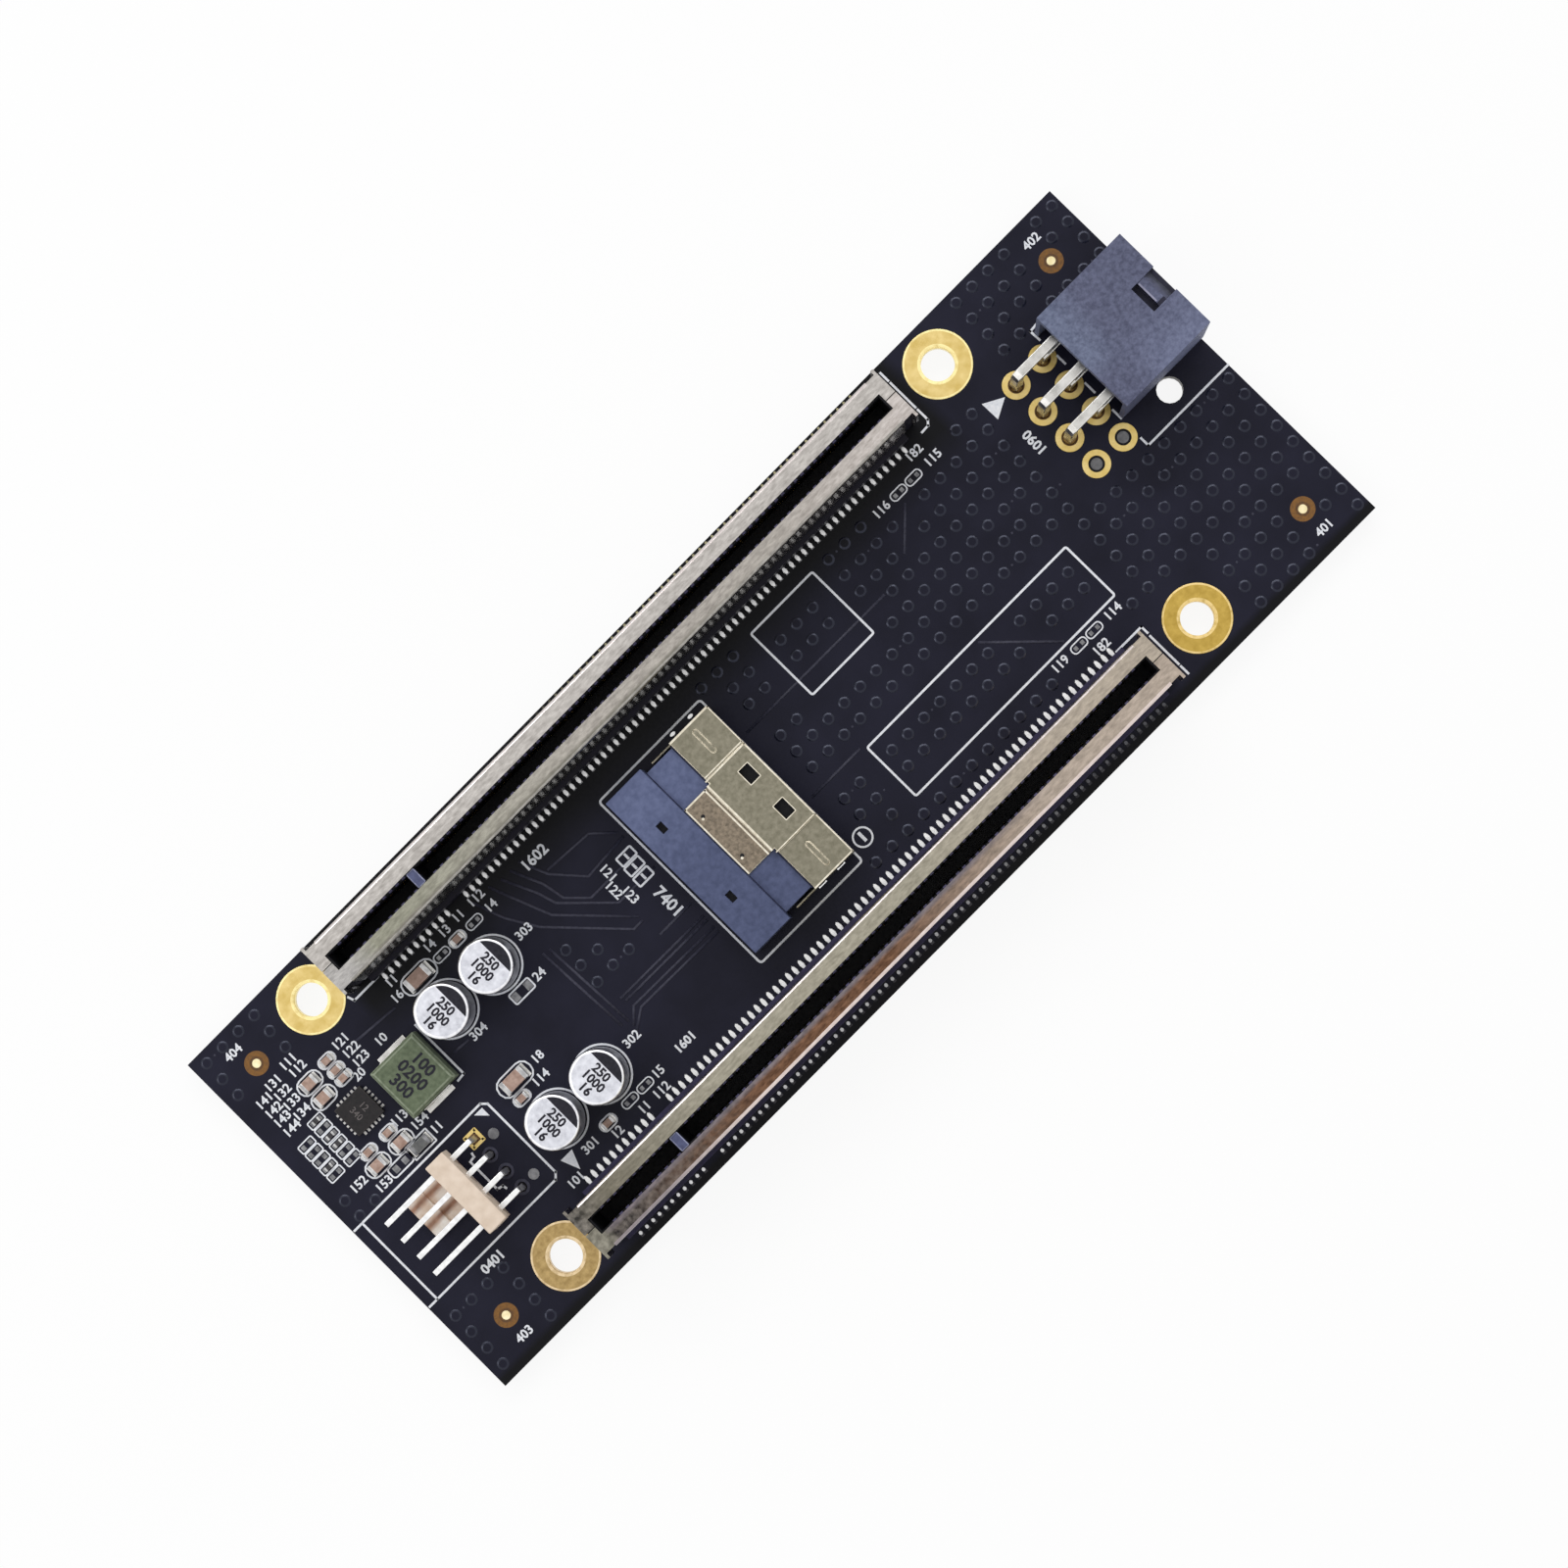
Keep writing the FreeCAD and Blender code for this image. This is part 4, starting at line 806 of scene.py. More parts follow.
def stroke(shape, start, end, width, z0, z1):
    """A straight printed line between two places, a little longer than they are apart."""
    across = Vector(end) - Vector(start)
    middle = (Vector(end) + Vector(start)) / 2
    press(shape, unit_block, middle.x, middle.y, z0, math.degrees(math.atan2(across.y, across.x)),
          (across.length + width, width, z1 - z0))


print("a soft block has", len(soft_block.polygons), "faces")

# %% [markdown]
# A spun shape starts as a profile of points. The full turn is merged where it closes, and points on the axis
# fall together into one. Faces that lie flat stay flat, and the others are shaded as round.

# %% Rings and frames
JOIN = 0.0005
FLAT_FROM = 0.98


def turned(profile, sides, closed):
    """Spin a profile of (radius, height) points round the upright axis."""
    shape = bmesh.new()
    verts = [shape.verts.new((radius, 0.0, height)) for radius, height in profile]
    pairs = list(zip(verts, verts[1:]))
    if closed:
        pairs.append((verts[-1], verts[0]))
    edges = [shape.edges.new(pair) for pair in pairs]
    bmesh.ops.spin(shape, geom=verts + edges, axis=(0.0, 0.0, 1.0), cent=(0.0, 0.0, 0.0),
                   angle=2 * math.pi, steps=sides, use_merge=True)
    bmesh.ops.remove_doubles(shape, verts=shape.verts, dist=JOIN)
    bmesh.ops.recalc_face_normals(shape, faces=shape.faces)
    for face in shape.faces:
        face.smooth = abs(face.normal.z) < FLAT_FROM
    return shape


def ring_stamp(inner, outer, height, sides, slope=0.0):
    """A flat ring with a rectangular or slightly sloping section."""
    section = [(inner, 0.0), (outer, 0.0), (outer - slope, height), (inner + slope, height)]
    return as_stamp(turned(section, sides, True))


def frame_stamp(width, length, corner, line, height):
    """A thin printed frame with rounded corners."""
    shape = bmesh.new()
    bmesh.ops.create_grid(shape, x_segments=1, y_segments=1, size=0.5)
    bmesh.ops.scale(shape, vec=(width, length, 1.0), verts=shape.verts)
    if corner:
        bmesh.ops.bevel(shape, geom=shape.verts[:], offset=corner, affect="VERTICES", segments=3,
                        profile=0.5, material=-1)
    middle = shape.faces[:]
    bmesh.ops.inset_region(shape, faces=middle, thickness=line, use_even_offset=True, use_boundary=True)
    bmesh.ops.delete(shape, geom=middle, context="FACES")
    up = bmesh.ops.extrude_face_region(shape, geom=shape.faces[:])
    raised = [item for item in up["geom"] if isinstance(item, bmesh.types.BMVert)]
    bmesh.ops.translate(shape, verts=raised, vec=(0.0, 0.0, height))
    return as_stamp(shape)


print("rings and frames can be made")

# %% [markdown]
# ## The board's lands
# Gold-plated copper shows wherever the lacquer is left open: wide rings round the mounting holes, narrow
# rings round the power pins, one square land for the fan header's first pin, and a small bright dot at each
# corner that a placing machine looks for. The wide rings are turned with fine sides, and stand for the
# plainer rings of the frame. Their rims and the plated barrel in each hole are pale, partly scuffing and
# partly painted highlight.

# %% Mounting rings
HOLE_X = 50.15
HOLE_Y = 20.32
HOLES = [(x, y) for x in (-HOLE_X, HOLE_X) for y in (-HOLE_Y, HOLE_Y)]
LAND_TOP = 0.05
RIM_FROM = 3.74
MOUTH_TO = 2.3
BARREL_INNER = 1.93
BARREL_OUTER = 2.02
ring_profile = [(2.0, 0.0), (4.0, 0.0), (3.94, 0.04), (3.86, LAND_TOP), (RIM_FROM, LAND_TOP),
                (MOUTH_TO, LAND_TOP), (2.16, 0.046), (2.0, 0.03)]
barrel_profile = [(BARREL_INNER, 0.0), (BARREL_OUTER, 0.0), (BARREL_OUTER, BOARD_TOP),
                  (BARREL_INNER, BOARD_TOP)]
wide_ring = turned(ring_profile, sides=72, closed=True)
mark_scuff_and_highlight(wide_ring, lambda face: not MOUTH_TO <= face.calc_center_median().to_2d().length <= RIM_FROM)
wide_ring_stamp = as_stamp(wide_ring)
barrel = turned(barrel_profile, sides=48, closed=True)
mark_scuff_and_highlight(barrel, lambda face: True)
barrel_stamp = as_stamp(barrel)
rings = bmesh.new()
for x, y in HOLES:
    press(rings, barrel_stamp, x, y)
    press(rings, wide_ring_stamp, x, y, BOARD_TOP)
    press(rings, wide_ring_stamp, x, y, 0.0, size=TURNED_OVER)
bmesh.ops.recalc_face_normals(rings, faces=rings.faces)
for face in rings.faces:
    place = face.calc_center_median()
    if place.y < 0:
        face.material_index = 1 if place.x < 0 else 2
make_piece("mounting_rings", rings, [land_gold, brown_gold, mustard_gold], ["mounting_lands"])

# %% [markdown]
# The power header's holes have narrow gold rings on both faces of the board, and the fan header's first pin
# has a square land. All of them are pressed into one piece, because on the real board they are one plating.

# %% Small lands
POWER_ROWS = (54.6, 58.8)
POWER_COLUMNS = (12.38, 8.18, 3.98, -0.22)
PINNED_COLUMNS = POWER_COLUMNS[:3]
SPARE_COLUMN = POWER_COLUMNS[3]
FAN_ROW = -48.15
FAN_COLUMNS = (-3.79, -6.33, -8.87, -11.41)
power_ring = ring_stamp(inner=0.91, outer=1.65, height=LAND_TOP, sides=32, slope=0.05)
fan_ring = ring_stamp(inner=0.56, outer=0.92, height=0.04, sides=24, slope=0.03)
first_land = frame_stamp(width=1.9, length=1.9, corner=0.12, line=0.4, height=LAND_TOP)
small_lands = bmesh.new()
for x in POWER_ROWS:
    for y in POWER_COLUMNS:
        press(small_lands, power_ring, x, y, BOARD_TOP)
        press(small_lands, power_ring, x, y, 0.0, size=TURNED_OVER)
press_once(small_lands, first_land, FAN_ROW, FAN_COLUMNS[0], BOARD_TOP)
for y in FAN_COLUMNS:
    press(small_lands, fan_ring, FAN_ROW, y, 0.0, size=TURNED_OVER)
bmesh.ops.recalc_face_normals(small_lands, faces=small_lands.faces)
make_piece("small_lands", small_lands, [land_gold])

# %% [markdown]
# Each corner dot is a small gold button in a wide opening of the lacquer, so it stands in a ring of bare
# laminate that is darker close to the dot. Dark rings also lie round the pins in the power lands and in the
# fan header's first land, and dull ones round the other fan pins.

# %% Corner dots and dark rings
CORNER_DOTS = ((-59.56, 19.63), (-59.58, -20.24), (67.27, 19.41), (67.02, -20.1))
corner_dots = bmesh.new()
pale_rings = bmesh.new()
dark_rings = bmesh.new()
dot = disc_stamp(foot=0.54, top=0.48, height=LAND_TOP, sides=24)
pale_ring = ring_stamp(inner=0.8, outer=1.42, height=0.012, sides=32)
dark_ring = ring_stamp(inner=0.5, outer=0.82, height=0.014, sides=32)
power_shade = ring_stamp(inner=0.78, outer=0.95, height=LAND_TOP - 0.01, sides=24)
fan_shade = ring_stamp(inner=0.36, outer=0.6, height=0.03, sides=20)
for x, y in CORNER_DOTS:
    press(corner_dots, dot, x, y, BOARD_TOP)
    press(pale_rings, pale_ring, x, y, BOARD_TOP)
    press(dark_rings, dark_ring, x, y, BOARD_TOP)
make_piece("corner_dots", corner_dots, [cream_gold])
make_piece("corner_rings", pale_rings, [bare_laminate])
for x in POWER_ROWS:
    for y in PINNED_COLUMNS:
        press(dark_rings, power_shade, x, y, BOARD_TOP)
press(dark_rings, fan_shade, FAN_ROW, FAN_COLUMNS[0], BOARD_TOP)
make_piece("dark_land_rings", dark_rings, [dark_laminate])

dull_rings = bmesh.new()
for y in FAN_COLUMNS[1:]:
    press(dull_rings, fan_ring, FAN_ROW, y, BOARD_TOP)
make_piece("fan_land_rings", dull_rings, [trace_lacquer])

# %% [markdown]
# Two power holes carry no pin, and two more holes stand behind the fan header. They look grey from above,
# so a thin grey disc closes each one a little below the face of the board, as painted shade for the shaded
# ground seen through it. In the wider power holes a black ring of painted shade, for the hole's shaded wall,
# stands round the disc.

# %% Painted shade in the spare holes
SPARE_HOLES = ((-46.2, -4.9), (-46.2, -11.3))
SHADE_DISC = 0.1
SHADE_DISC_SINK = 0.02
WIDE_SHADE_DISC_SINK = 0.2
BARREL_SHADE_SINK = 0.24
hole_shades = bmesh.new()
pale_hole_shades = bmesh.new()
barrel_shades = bmesh.new()
small_hole_shade = disc_stamp(foot=0.64, top=0.64, height=SHADE_DISC, sides=20)
wide_hole_shade = disc_stamp(foot=0.68, top=0.68, height=SHADE_DISC, sides=20)
barrel_shade = ring_stamp(inner=0.66, outer=0.92, height=SHADE_DISC, sides=24)
for shape, (x, y) in zip((hole_shades, pale_hole_shades), SPARE_HOLES):
    press(shape, small_hole_shade, x, y, BOARD_TOP - SHADE_DISC_SINK - SHADE_DISC)
for x in POWER_ROWS:
    press(hole_shades, wide_hole_shade, x, SPARE_COLUMN, BOARD_TOP - WIDE_SHADE_DISC_SINK)
    press(barrel_shades, barrel_shade, x, SPARE_COLUMN, BOARD_TOP - BARREL_SHADE_SINK)
make_piece("hole_shade_discs", hole_shades, [hole_shade_grey])
make_piece("pale_hole_shade_disc", pale_hole_shades, [pale_hole_shade])
make_piece("barrel_shade_rings", barrel_shades, [slot_black])

# %% [markdown]
# ## Copper under the lacquer
# Between the parts the copper is filled with small round dots, and bundles of traces run from the cable
# socket to the slots. The lacquer flows over them, so each shows as a low swelling with a bright rim. They
# are real relief here, low buttons and low bars, because a bump alone would be lost from the side.

# %% Print outlines, which the dots keep clear of
FRAMES = ((-11.6, 4.8, -12.94, 13.0, 0.5), (13.8, 23.85, 4.1, 14.1, 0.35), (13.9, 45.7, -12.1, -4.15, 0.35))
RUNS = (
    ((72.7, -2.88), (60.1, -2.88), (60.1, -1.75)), ((61.1, 15.6), (60.0, 15.5), (60.05, 14.1)),
    ((60.15, 5.6), (60.15, 7.0)), ((60.15, 1.44), (60.15, 2.7)), ((60.15, 10.2), (60.15, 11.4)),
    ((-65.0, -1.5), (-44.9, -1.5), (-44.3, -2.1), (-44.3, -12.9), (-44.9, -13.5), (-65.0, -13.5)),
    ((-63.8, -1.5), (-63.8, -13.5)),
    ((-49.5, -4.8), (-49.6, -5.2), (-50.3, -5.3), (-50.3, -9.6), (-49.6, -9.8), (-49.5, -10.2)),
    ((-46.96, 17.5), (-46.7, 16.75), (-42.97, 16.75)), ((-43.8, 9.9), (-43.8, 2.2), (-44.8, 2.1)),
    ((44.95, 18.3), (44.95, 16.75), (44.5, 16.25), (43.5, 16.2)),
    ((44.95, 18.7), (44.95, 22.6)), ((44.95, 23.0), (44.95, 24.2)),
    ((41.19, -16.55), (45.1, -16.55), (45.1, -17.5)), ((45.05, -18.0), (45.05, -22.4)),
    ((45.05, -22.8), (45.05, -23.9)),
)
print(len(FRAMES), "frames and", len(RUNS), "runs of lines")

# %% [markdown]
# Traces fan out from the cable socket in bundles, bend once or twice and end under a slot. Each is a run of
# straight stretches, read off the card from the way the lacquer bulges over it.

# %% Traces, which the dots keep clear of too
TRACES = (
    ((-29.5, 15.0), (-28.2, 11.2), (-26.1, 7.7), (-18.8, 0.0), (-17.4, 0.0)),
    ((-27.0, 15.0), (-25.3, 10.5), (-24.2, 7.7), (-17.4, 0.6)),
    ((-25.4, 14.6), (-23.6, 10.6), (-22.9, 8.3), (-17.9, 3.3), (-12.2, 3.3)),
    ((-24.0, 14.6), (-22.4, 10.8), (-21.9, 8.1), (-19.7, 5.9), (-12.2, 5.9)),
    ((-22.6, 14.6), (-21.2, 11.2), (-18.2, 7.8), (-12.2, 8.2)),
    ((-25.4, -4.4), (-12.2, -4.5)), ((-25.1, -5.0), (-12.2, -5.1)),
    ((-26.5, -7.6), (-24.9, -6.0), (-12.2, -6.2)), ((-26.9, -8.4), (-24.4, -6.7), (-12.2, -6.9)),
    ((-17.2, -2.5), (-12.2, -2.5)), ((-28.0, 5.4), (-27.4, -6.7)), ((-27.1, 5.2), (-26.5, -6.9)),
    ((-49.9, 13.4), (-44.0, 12.9)), ((-43.3, 4.7), (-40.7, 4.5)), ((5.7, 6.5), (27.6, 6.4)),
    ((5.7, -3.8), (13.4, -3.8)), ((31.1, -4.8), (37.9, -11.6)), ((36.5, 12.0), (32.4, 8.0)),
    ((-21.0, 11.6), (-14.8, 11.2), (-12.4, 8.9)),
)
print(len(TRACES), "traces")

# %% [markdown]
# The dots stand in a square grid over three fields of the board, and a few more lie in two small patches
# towards the left end. No dot comes close to print, a land, a trace or a part, so each place of the grid is
# tried against all of them before a dot is put there.

# %% Places of the dots
DOT_COLUMN_PITCH = 2.54
DOT_ROW_PITCH = 2.515
DOT_LEAN = 0.0025
DOT_FIELDS = (
    (5.6, 72.0, -24.8, 24.4, 0.52, -19.05),
    (-64.5, -55.0, 13.0, 24.4, -63.55, 23.65),
    (-64.5, -47.5, -24.8, -14.2, -63.65, -16.25),
)
DOT_PATCH = ((-25.9, 3.8), (-25.9, 1.4), (-25.9, -1.25), (-23.3, 1.3), (-23.3, -1.15), (-20.8, -1.2),
             (-63.4, 1.65), (-60.9, -0.72), (-63.4, -0.75))
DOT_KEEP_OUTS = (
    (51.0, 73.0, -3.6, 15.9), (-46.5, 46.4, 14.4, 26.0), (-46.5, 46.4, -26.0, -14.9),
    (5.0, 8.4, -12.8, -9.2), (32.4, 43.9, 12.2, 16.2), (34.2, 45.8, -14.6, -11.9),
    (-63.0, -47.0, -14.9, 17.6), (49.5, 53.4, 10.4, 14.4), (50.3, 52.4, 4.4, 8.2),
    (-62.5, -58.7, 21.0, 23.6), (65.4, 69.2, 21.2, 23.8), (65.3, 69.1, -24.6, -22.0),
    (-61.5, -57.7, -24.5, -21.9), (-64.5, -62.9, 12.9, 17.0), (-58.4, -54.4, -16.2, -13.8),
)
GRID_COLUMNS = range(-40, 41)
GRID_ROWS = range(-25, 26)
HOLE_CLEAR = 5.65
CORNER_CLEAR = 2.5
LINE_CLEAR = 0.95


def gap_to_run(x, y, start, end):
    """Distance from a place to a straight line between two places."""
    along = Vector(end) - Vector(start)
    back = Vector((x, y)) - Vector(start)
    share = max(0.0, min(1.0, back.dot(along) / along.length_squared))
    return (back - along * share).length


def clear_for_dot(x, y):
    """True where nothing is printed, plated or mounted close by."""
    if any(x0 < x < x1 and y0 < y < y1 for x0, x1, y0, y1 in DOT_KEEP_OUTS):
        return False
    if any(math.hypot(x - cx, y - cy) < HOLE_CLEAR for cx, cy in HOLES):
        return False
    if any(math.hypot(x - cx, y - cy) < CORNER_CLEAR for cx, cy in CORNER_DOTS):
        return False
    for x0, x1, y0, y1, corner in FRAMES:
        rim = ((x0, y0), (x1, y0), (x1, y1), (x0, y1), (x0, y0))
        if any(gap_to_run(x, y, a, b) < LINE_CLEAR for a, b in zip(rim, rim[1:])):
            return False
    runs = RUNS + TRACES
    return not any(gap_to_run(x, y, a, b) < LINE_CLEAR for run in runs for a, b in zip(run, run[1:]))


dot_places = list(DOT_PATCH)
for x0, x1, y0, y1, first_x, first_y in DOT_FIELDS:
    for column in GRID_COLUMNS:
        for row in GRID_ROWS:
            y = first_y + DOT_ROW_PITCH * row
            x = first_x + DOT_COLUMN_PITCH * column + DOT_LEAN * (y - first_y)
            if x0 < x < x1 and y0 < y < y1 and clear_for_dot(x, y):
                dot_places.append((x, y))
print(len(dot_places), "dots")

# %% [markdown]
# A dot is a low swelling with a few facets on its shoulder and a flat top. The shoulder catches the light and
# has a glossier lacquer, and the top looks like the rest of the board. Tiny specks between some of the dots
# are vias that the lacquer has closed.

# %% Raised dots
SWELLING = [(0.0, -0.02), (0.76, -0.02), (0.7, 0.015), (0.62, 0.05), (0.54, 0.085), (0.46, 0.105),
            (0.0, 0.105)]
swelling = turned(SWELLING, sides=12, closed=False)
for face in swelling.faces:
    face.material_index = 1 if face.normal.z > FLAT_FROM else 0
swelling_stamp = as_stamp(swelling)
dots = bmesh.new()
for x, y in dot_places:
    press(dots, swelling_stamp, x, y, BOARD_TOP)
make_piece("lacquered_dots", dots, [raised_lacquer, lacquer])

SPECK_LIMIT = 70.0
FIRST_SPECK = 4
SPECK_STEP = 9
speck = disc_stamp(foot=0.15, top=0.1, height=0.04, sides=8)
specks = bmesh.new()
for x, y in dot_places[FIRST_SPECK::SPECK_STEP]:
    if x < SPECK_LIMIT and clear_for_dot(x + DOT_COLUMN_PITCH / 2, y):
        press(specks, speck, x + DOT_COLUMN_PITCH / 2, y, BOARD_TOP)
make_piece("closed_vias", specks, [trace_lacquer])

# %% [markdown]
# The traces start as one curve with a round section, which mitres every bend by itself. It is made a mesh and
# pressed flat, so that only a low rounded bar stands above the board.

# %% Raised traces
TRACE_HALF = 0.17
TRACE_HEIGHT = 0.04


def curve_as_bmesh(curve):
    """A curve or a text, made a mesh before it is placed."""
    holder = bpy.data.objects.new("outline", curve)
    bpy.context.scene.collection.objects.link(holder)
    seen = holder.evaluated_get(bpy.context.evaluated_depsgraph_get())
    mesh = bpy.data.meshes.new_from_object(seen)
    bpy.data.objects.remove(holder)
    bpy.data.curves.remove(curve)
    shape = bmesh.new()
    shape.from_mesh(mesh)
    bpy.data.meshes.remove(mesh)
    bmesh.ops.remove_doubles(shape, verts=shape.verts, dist=JOIN)
    return shape


lines = bpy.data.curves.new("traces", "CURVE")
lines.dimensions = "3D"
lines.bevel_depth = TRACE_HALF
lines.bevel_resolution = 1
lines.use_fill_caps = True
for run in TRACES:
    line = lines.splines.new("POLY")
    line.points.add(len(run) - 1)
    for point, (x, y) in zip(line.points, run):
        point.co = (x, y, 0.0, 1.0)
traces = curve_as_bmesh(lines)
bmesh.ops.scale(traces, vec=(1.0, 1.0, TRACE_HEIGHT / TRACE_HALF), verts=traces.verts)
bmesh.ops.translate(traces, verts=traces.verts, vec=(0.0, 0.0, BOARD_TOP))
bmesh.ops.recalc_face_normals(traces, faces=traces.faces)
for face in traces.faces:
    face.smooth = True
make_piece("lacquered_traces", traces, [trace_lacquer])

# %% [markdown]
# ## White print
# The white ink is silk-screened on the lacquer: frames round the parts, rings round the cans, small
# triangles at first pins, and plain numbers beside the parts. The marks are thin solids, so that they keep
# their crisp edge in every view. Numbers start as text and are made a mesh before they are pressed.

# %% Frames, lines and triangles
INK_LINE = 0.26
INK_SINK = 0.01
INK_HEIGHT = 0.05
INK_LOW = BOARD_TOP - INK_SINK
INK_TOP = BOARD_TOP + INK_HEIGHT
ink = bmesh.new()


def print_frame(x0, x1, y0, y1, corner, line=INK_LINE):
    """A printed frame between two corners."""
    stamp = frame_stamp(x1 - x0, y1 - y0, corner, line, INK_TOP - INK_LOW)
    press_once(ink, stamp, (x0 + x1) / 2, (y0 + y1) / 2, INK_LOW)


for x0, x1, y0, y1, corner in FRAMES:
    print_frame(x0, x1, y0, y1, corner)
for run in RUNS:
    for start, end in zip(run, run[1:]):
        stroke(ink, start, end, INK_LINE, INK_LOW, INK_TOP)

TRIANGLES = (((50.4, 13.65), (52.78, 12.34), (50.45, 11.13)),
             ((-45.06, -1.95), (-45.07, -3.19), (-46.3, -1.94)),
             ((-43.0, -12.4), (-41.2, -12.4), (-42.1, -14.65)))
for corners in TRIANGLES:
    wedge = bmesh.new()
    base = wedge.faces.new([wedge.verts.new((x, y, INK_LOW)) for x, y in corners])
    up = bmesh.ops.extrude_face_region(wedge, geom=[base])
    raised = [item for item in up["geom"] if isinstance(item, bmesh.types.BMVert)]
    bmesh.ops.translate(wedge, verts=raised, vec=(0.0, 0.0, INK_TOP - INK_LOW))
    press_once(ink, as_stamp(wedge), 0.0, 0.0)
print(len(ink.faces), "faces of frames, lines and triangles")

# %% [markdown]
# A printed ring shows round the foot of each can, and a small circle stands beside the cable socket. The
# places of the cans come from the frame, so the print follows them.

# %% Printed rings
CIRCLE_X = 6.57
CIRCLE_Y = -10.97
can_ring = ring_stamp(inner=3.25, outer=3.48, height=INK_TOP - INK_LOW, sides=48)
circle = ring_stamp(inner=1.0, outer=1.22, height=INK_TOP - INK_LOW, sides=32)
CANS = [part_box(f"capacitor_can_{number}") for number in (1, 2, 3, 4)]
CAN_PLACES = [((low.x + high.x) / 2 / MM, (low.y + high.y) / 2 / MM) for low, high in CANS]
for x, y in CAN_PLACES:
    press(ink, can_ring, x, y, INK_LOW)
press(ink, circle, CIRCLE_X, CIRCLE_Y, INK_LOW)
print(len(CAN_PLACES), "rings round cans")

# %% [markdown]
# Every small part has a printed outline with rounded ends, drawn round the part and its end caps with some
# room. Places that were left without a part have the same outline, and show their lands.

# %% Outlines round chips and empty lands
CHIPS = ("large_chip_capacitors", "medium_chip_capacitors", "small_chip_capacitors")
CHIP_ROOMS = ((0.85, 0.5), (0.7, 0.46), (0.45, 0.34))
TINY_ROWS_A = (9.1, 7.95, 6.8, 5.65, 4.5)
TINY_ROWS_B = (10.25, 9.1, 7.95, 6.75, 5.6, 4.45)
TINY_PLACES = [(-62.0, y) for y in TINY_ROWS_A] + [(-59.35, y) for y in TINY_ROWS_B]
SPARE_PLACES = ((-13.6, 6.35), (-13.75, 4.93), (-13.84, 3.41))
OVAL_PLACES = ((-36.1, 13.35), (-30.9, 13.35), (-32.7, -13.2), (-30.3, -13.2), (36.82, 13.3), (39.2, 13.3),
               (38.77, -13.1), (41.17, -13.1))
CAP_REACH = 0.1
ROUND_SHARE = 0.9
CHIP_LINE = 0.2
TINY_LINE = 0.16
SPARE_LINE = 0.24


def whole_chips(node):
    """Lowest and highest corner of every chip of a node, with its end caps."""
    boxes = []
    for low, high in solids_in(node):
        for cap_low, cap_high in solids_in(node + "_ends"):
            if all(cap_low[axis] < high[axis] + CAP_REACH and cap_high[axis] > low[axis] - CAP_REACH
                   for axis in (0, 1)):
                low = Vector([min(pair) for pair in zip(low, cap_low)])
                high = Vector([max(pair) for pair in zip(high, cap_high)])
        boxes.append((low, high))
    return boxes


chip_boxes = []
for node, (along, across) in zip(CHIPS, CHIP_ROOMS):
    for low, high in whole_chips(node):
        lies_along = high.x - low.x > high.y - low.y
        room = Vector((along, across) if lies_along else (across, along))
        corner = (min(high.x - low.x, high.y - low.y) / 2 + across) * ROUND_SHARE
        print_frame(low.x - room.x, high.x + room.x, low.y - room.y, high.y + room.y, corner, CHIP_LINE)
        chip_boxes.append((low, high))
fuse_boxes = whole_chips("chip_fuse")
for low, high in fuse_boxes:
    print_frame(low.x - 0.5, high.x + 0.5, low.y - 0.4, high.y + 0.4, 0.15, CHIP_LINE)
for x, y in TINY_PLACES:
    print_frame(x - 1.1, x + 1.1, y - 0.58, y + 0.58, 0.25, TINY_LINE)
for x, y in SPARE_PLACES:
    print_frame(x - 1.2, x + 1.2, y - 0.72, y + 0.72, 0.25, SPARE_LINE)
    stroke(ink, (x, y - 0.25), (x, y + 0.25), 0.3, INK_LOW, INK_TOP)
for x, y in OVAL_PLACES:
    print_frame(x - 1.15, x + 1.15, y - 0.6, y + 0.6, 0.5, TINY_LINE)
print_frame(-57.75, -54.35, -0.77, 0.83, 0.5, CHIP_LINE)
print_frame(-34.2, -31.0, 3.25, 4.85, 0.3, CHIP_LINE)
print(len(chip_boxes), "chips outlined, and", len(TINY_PLACES) + len(OVAL_PLACES), "places for chips")

# %% [markdown]
# The numbers beside the parts are plain digits. A text curve gives their strokes, is made bolder by a small
# offset, and becomes a thin solid. Most numbers run along the card, and a few are turned across it.

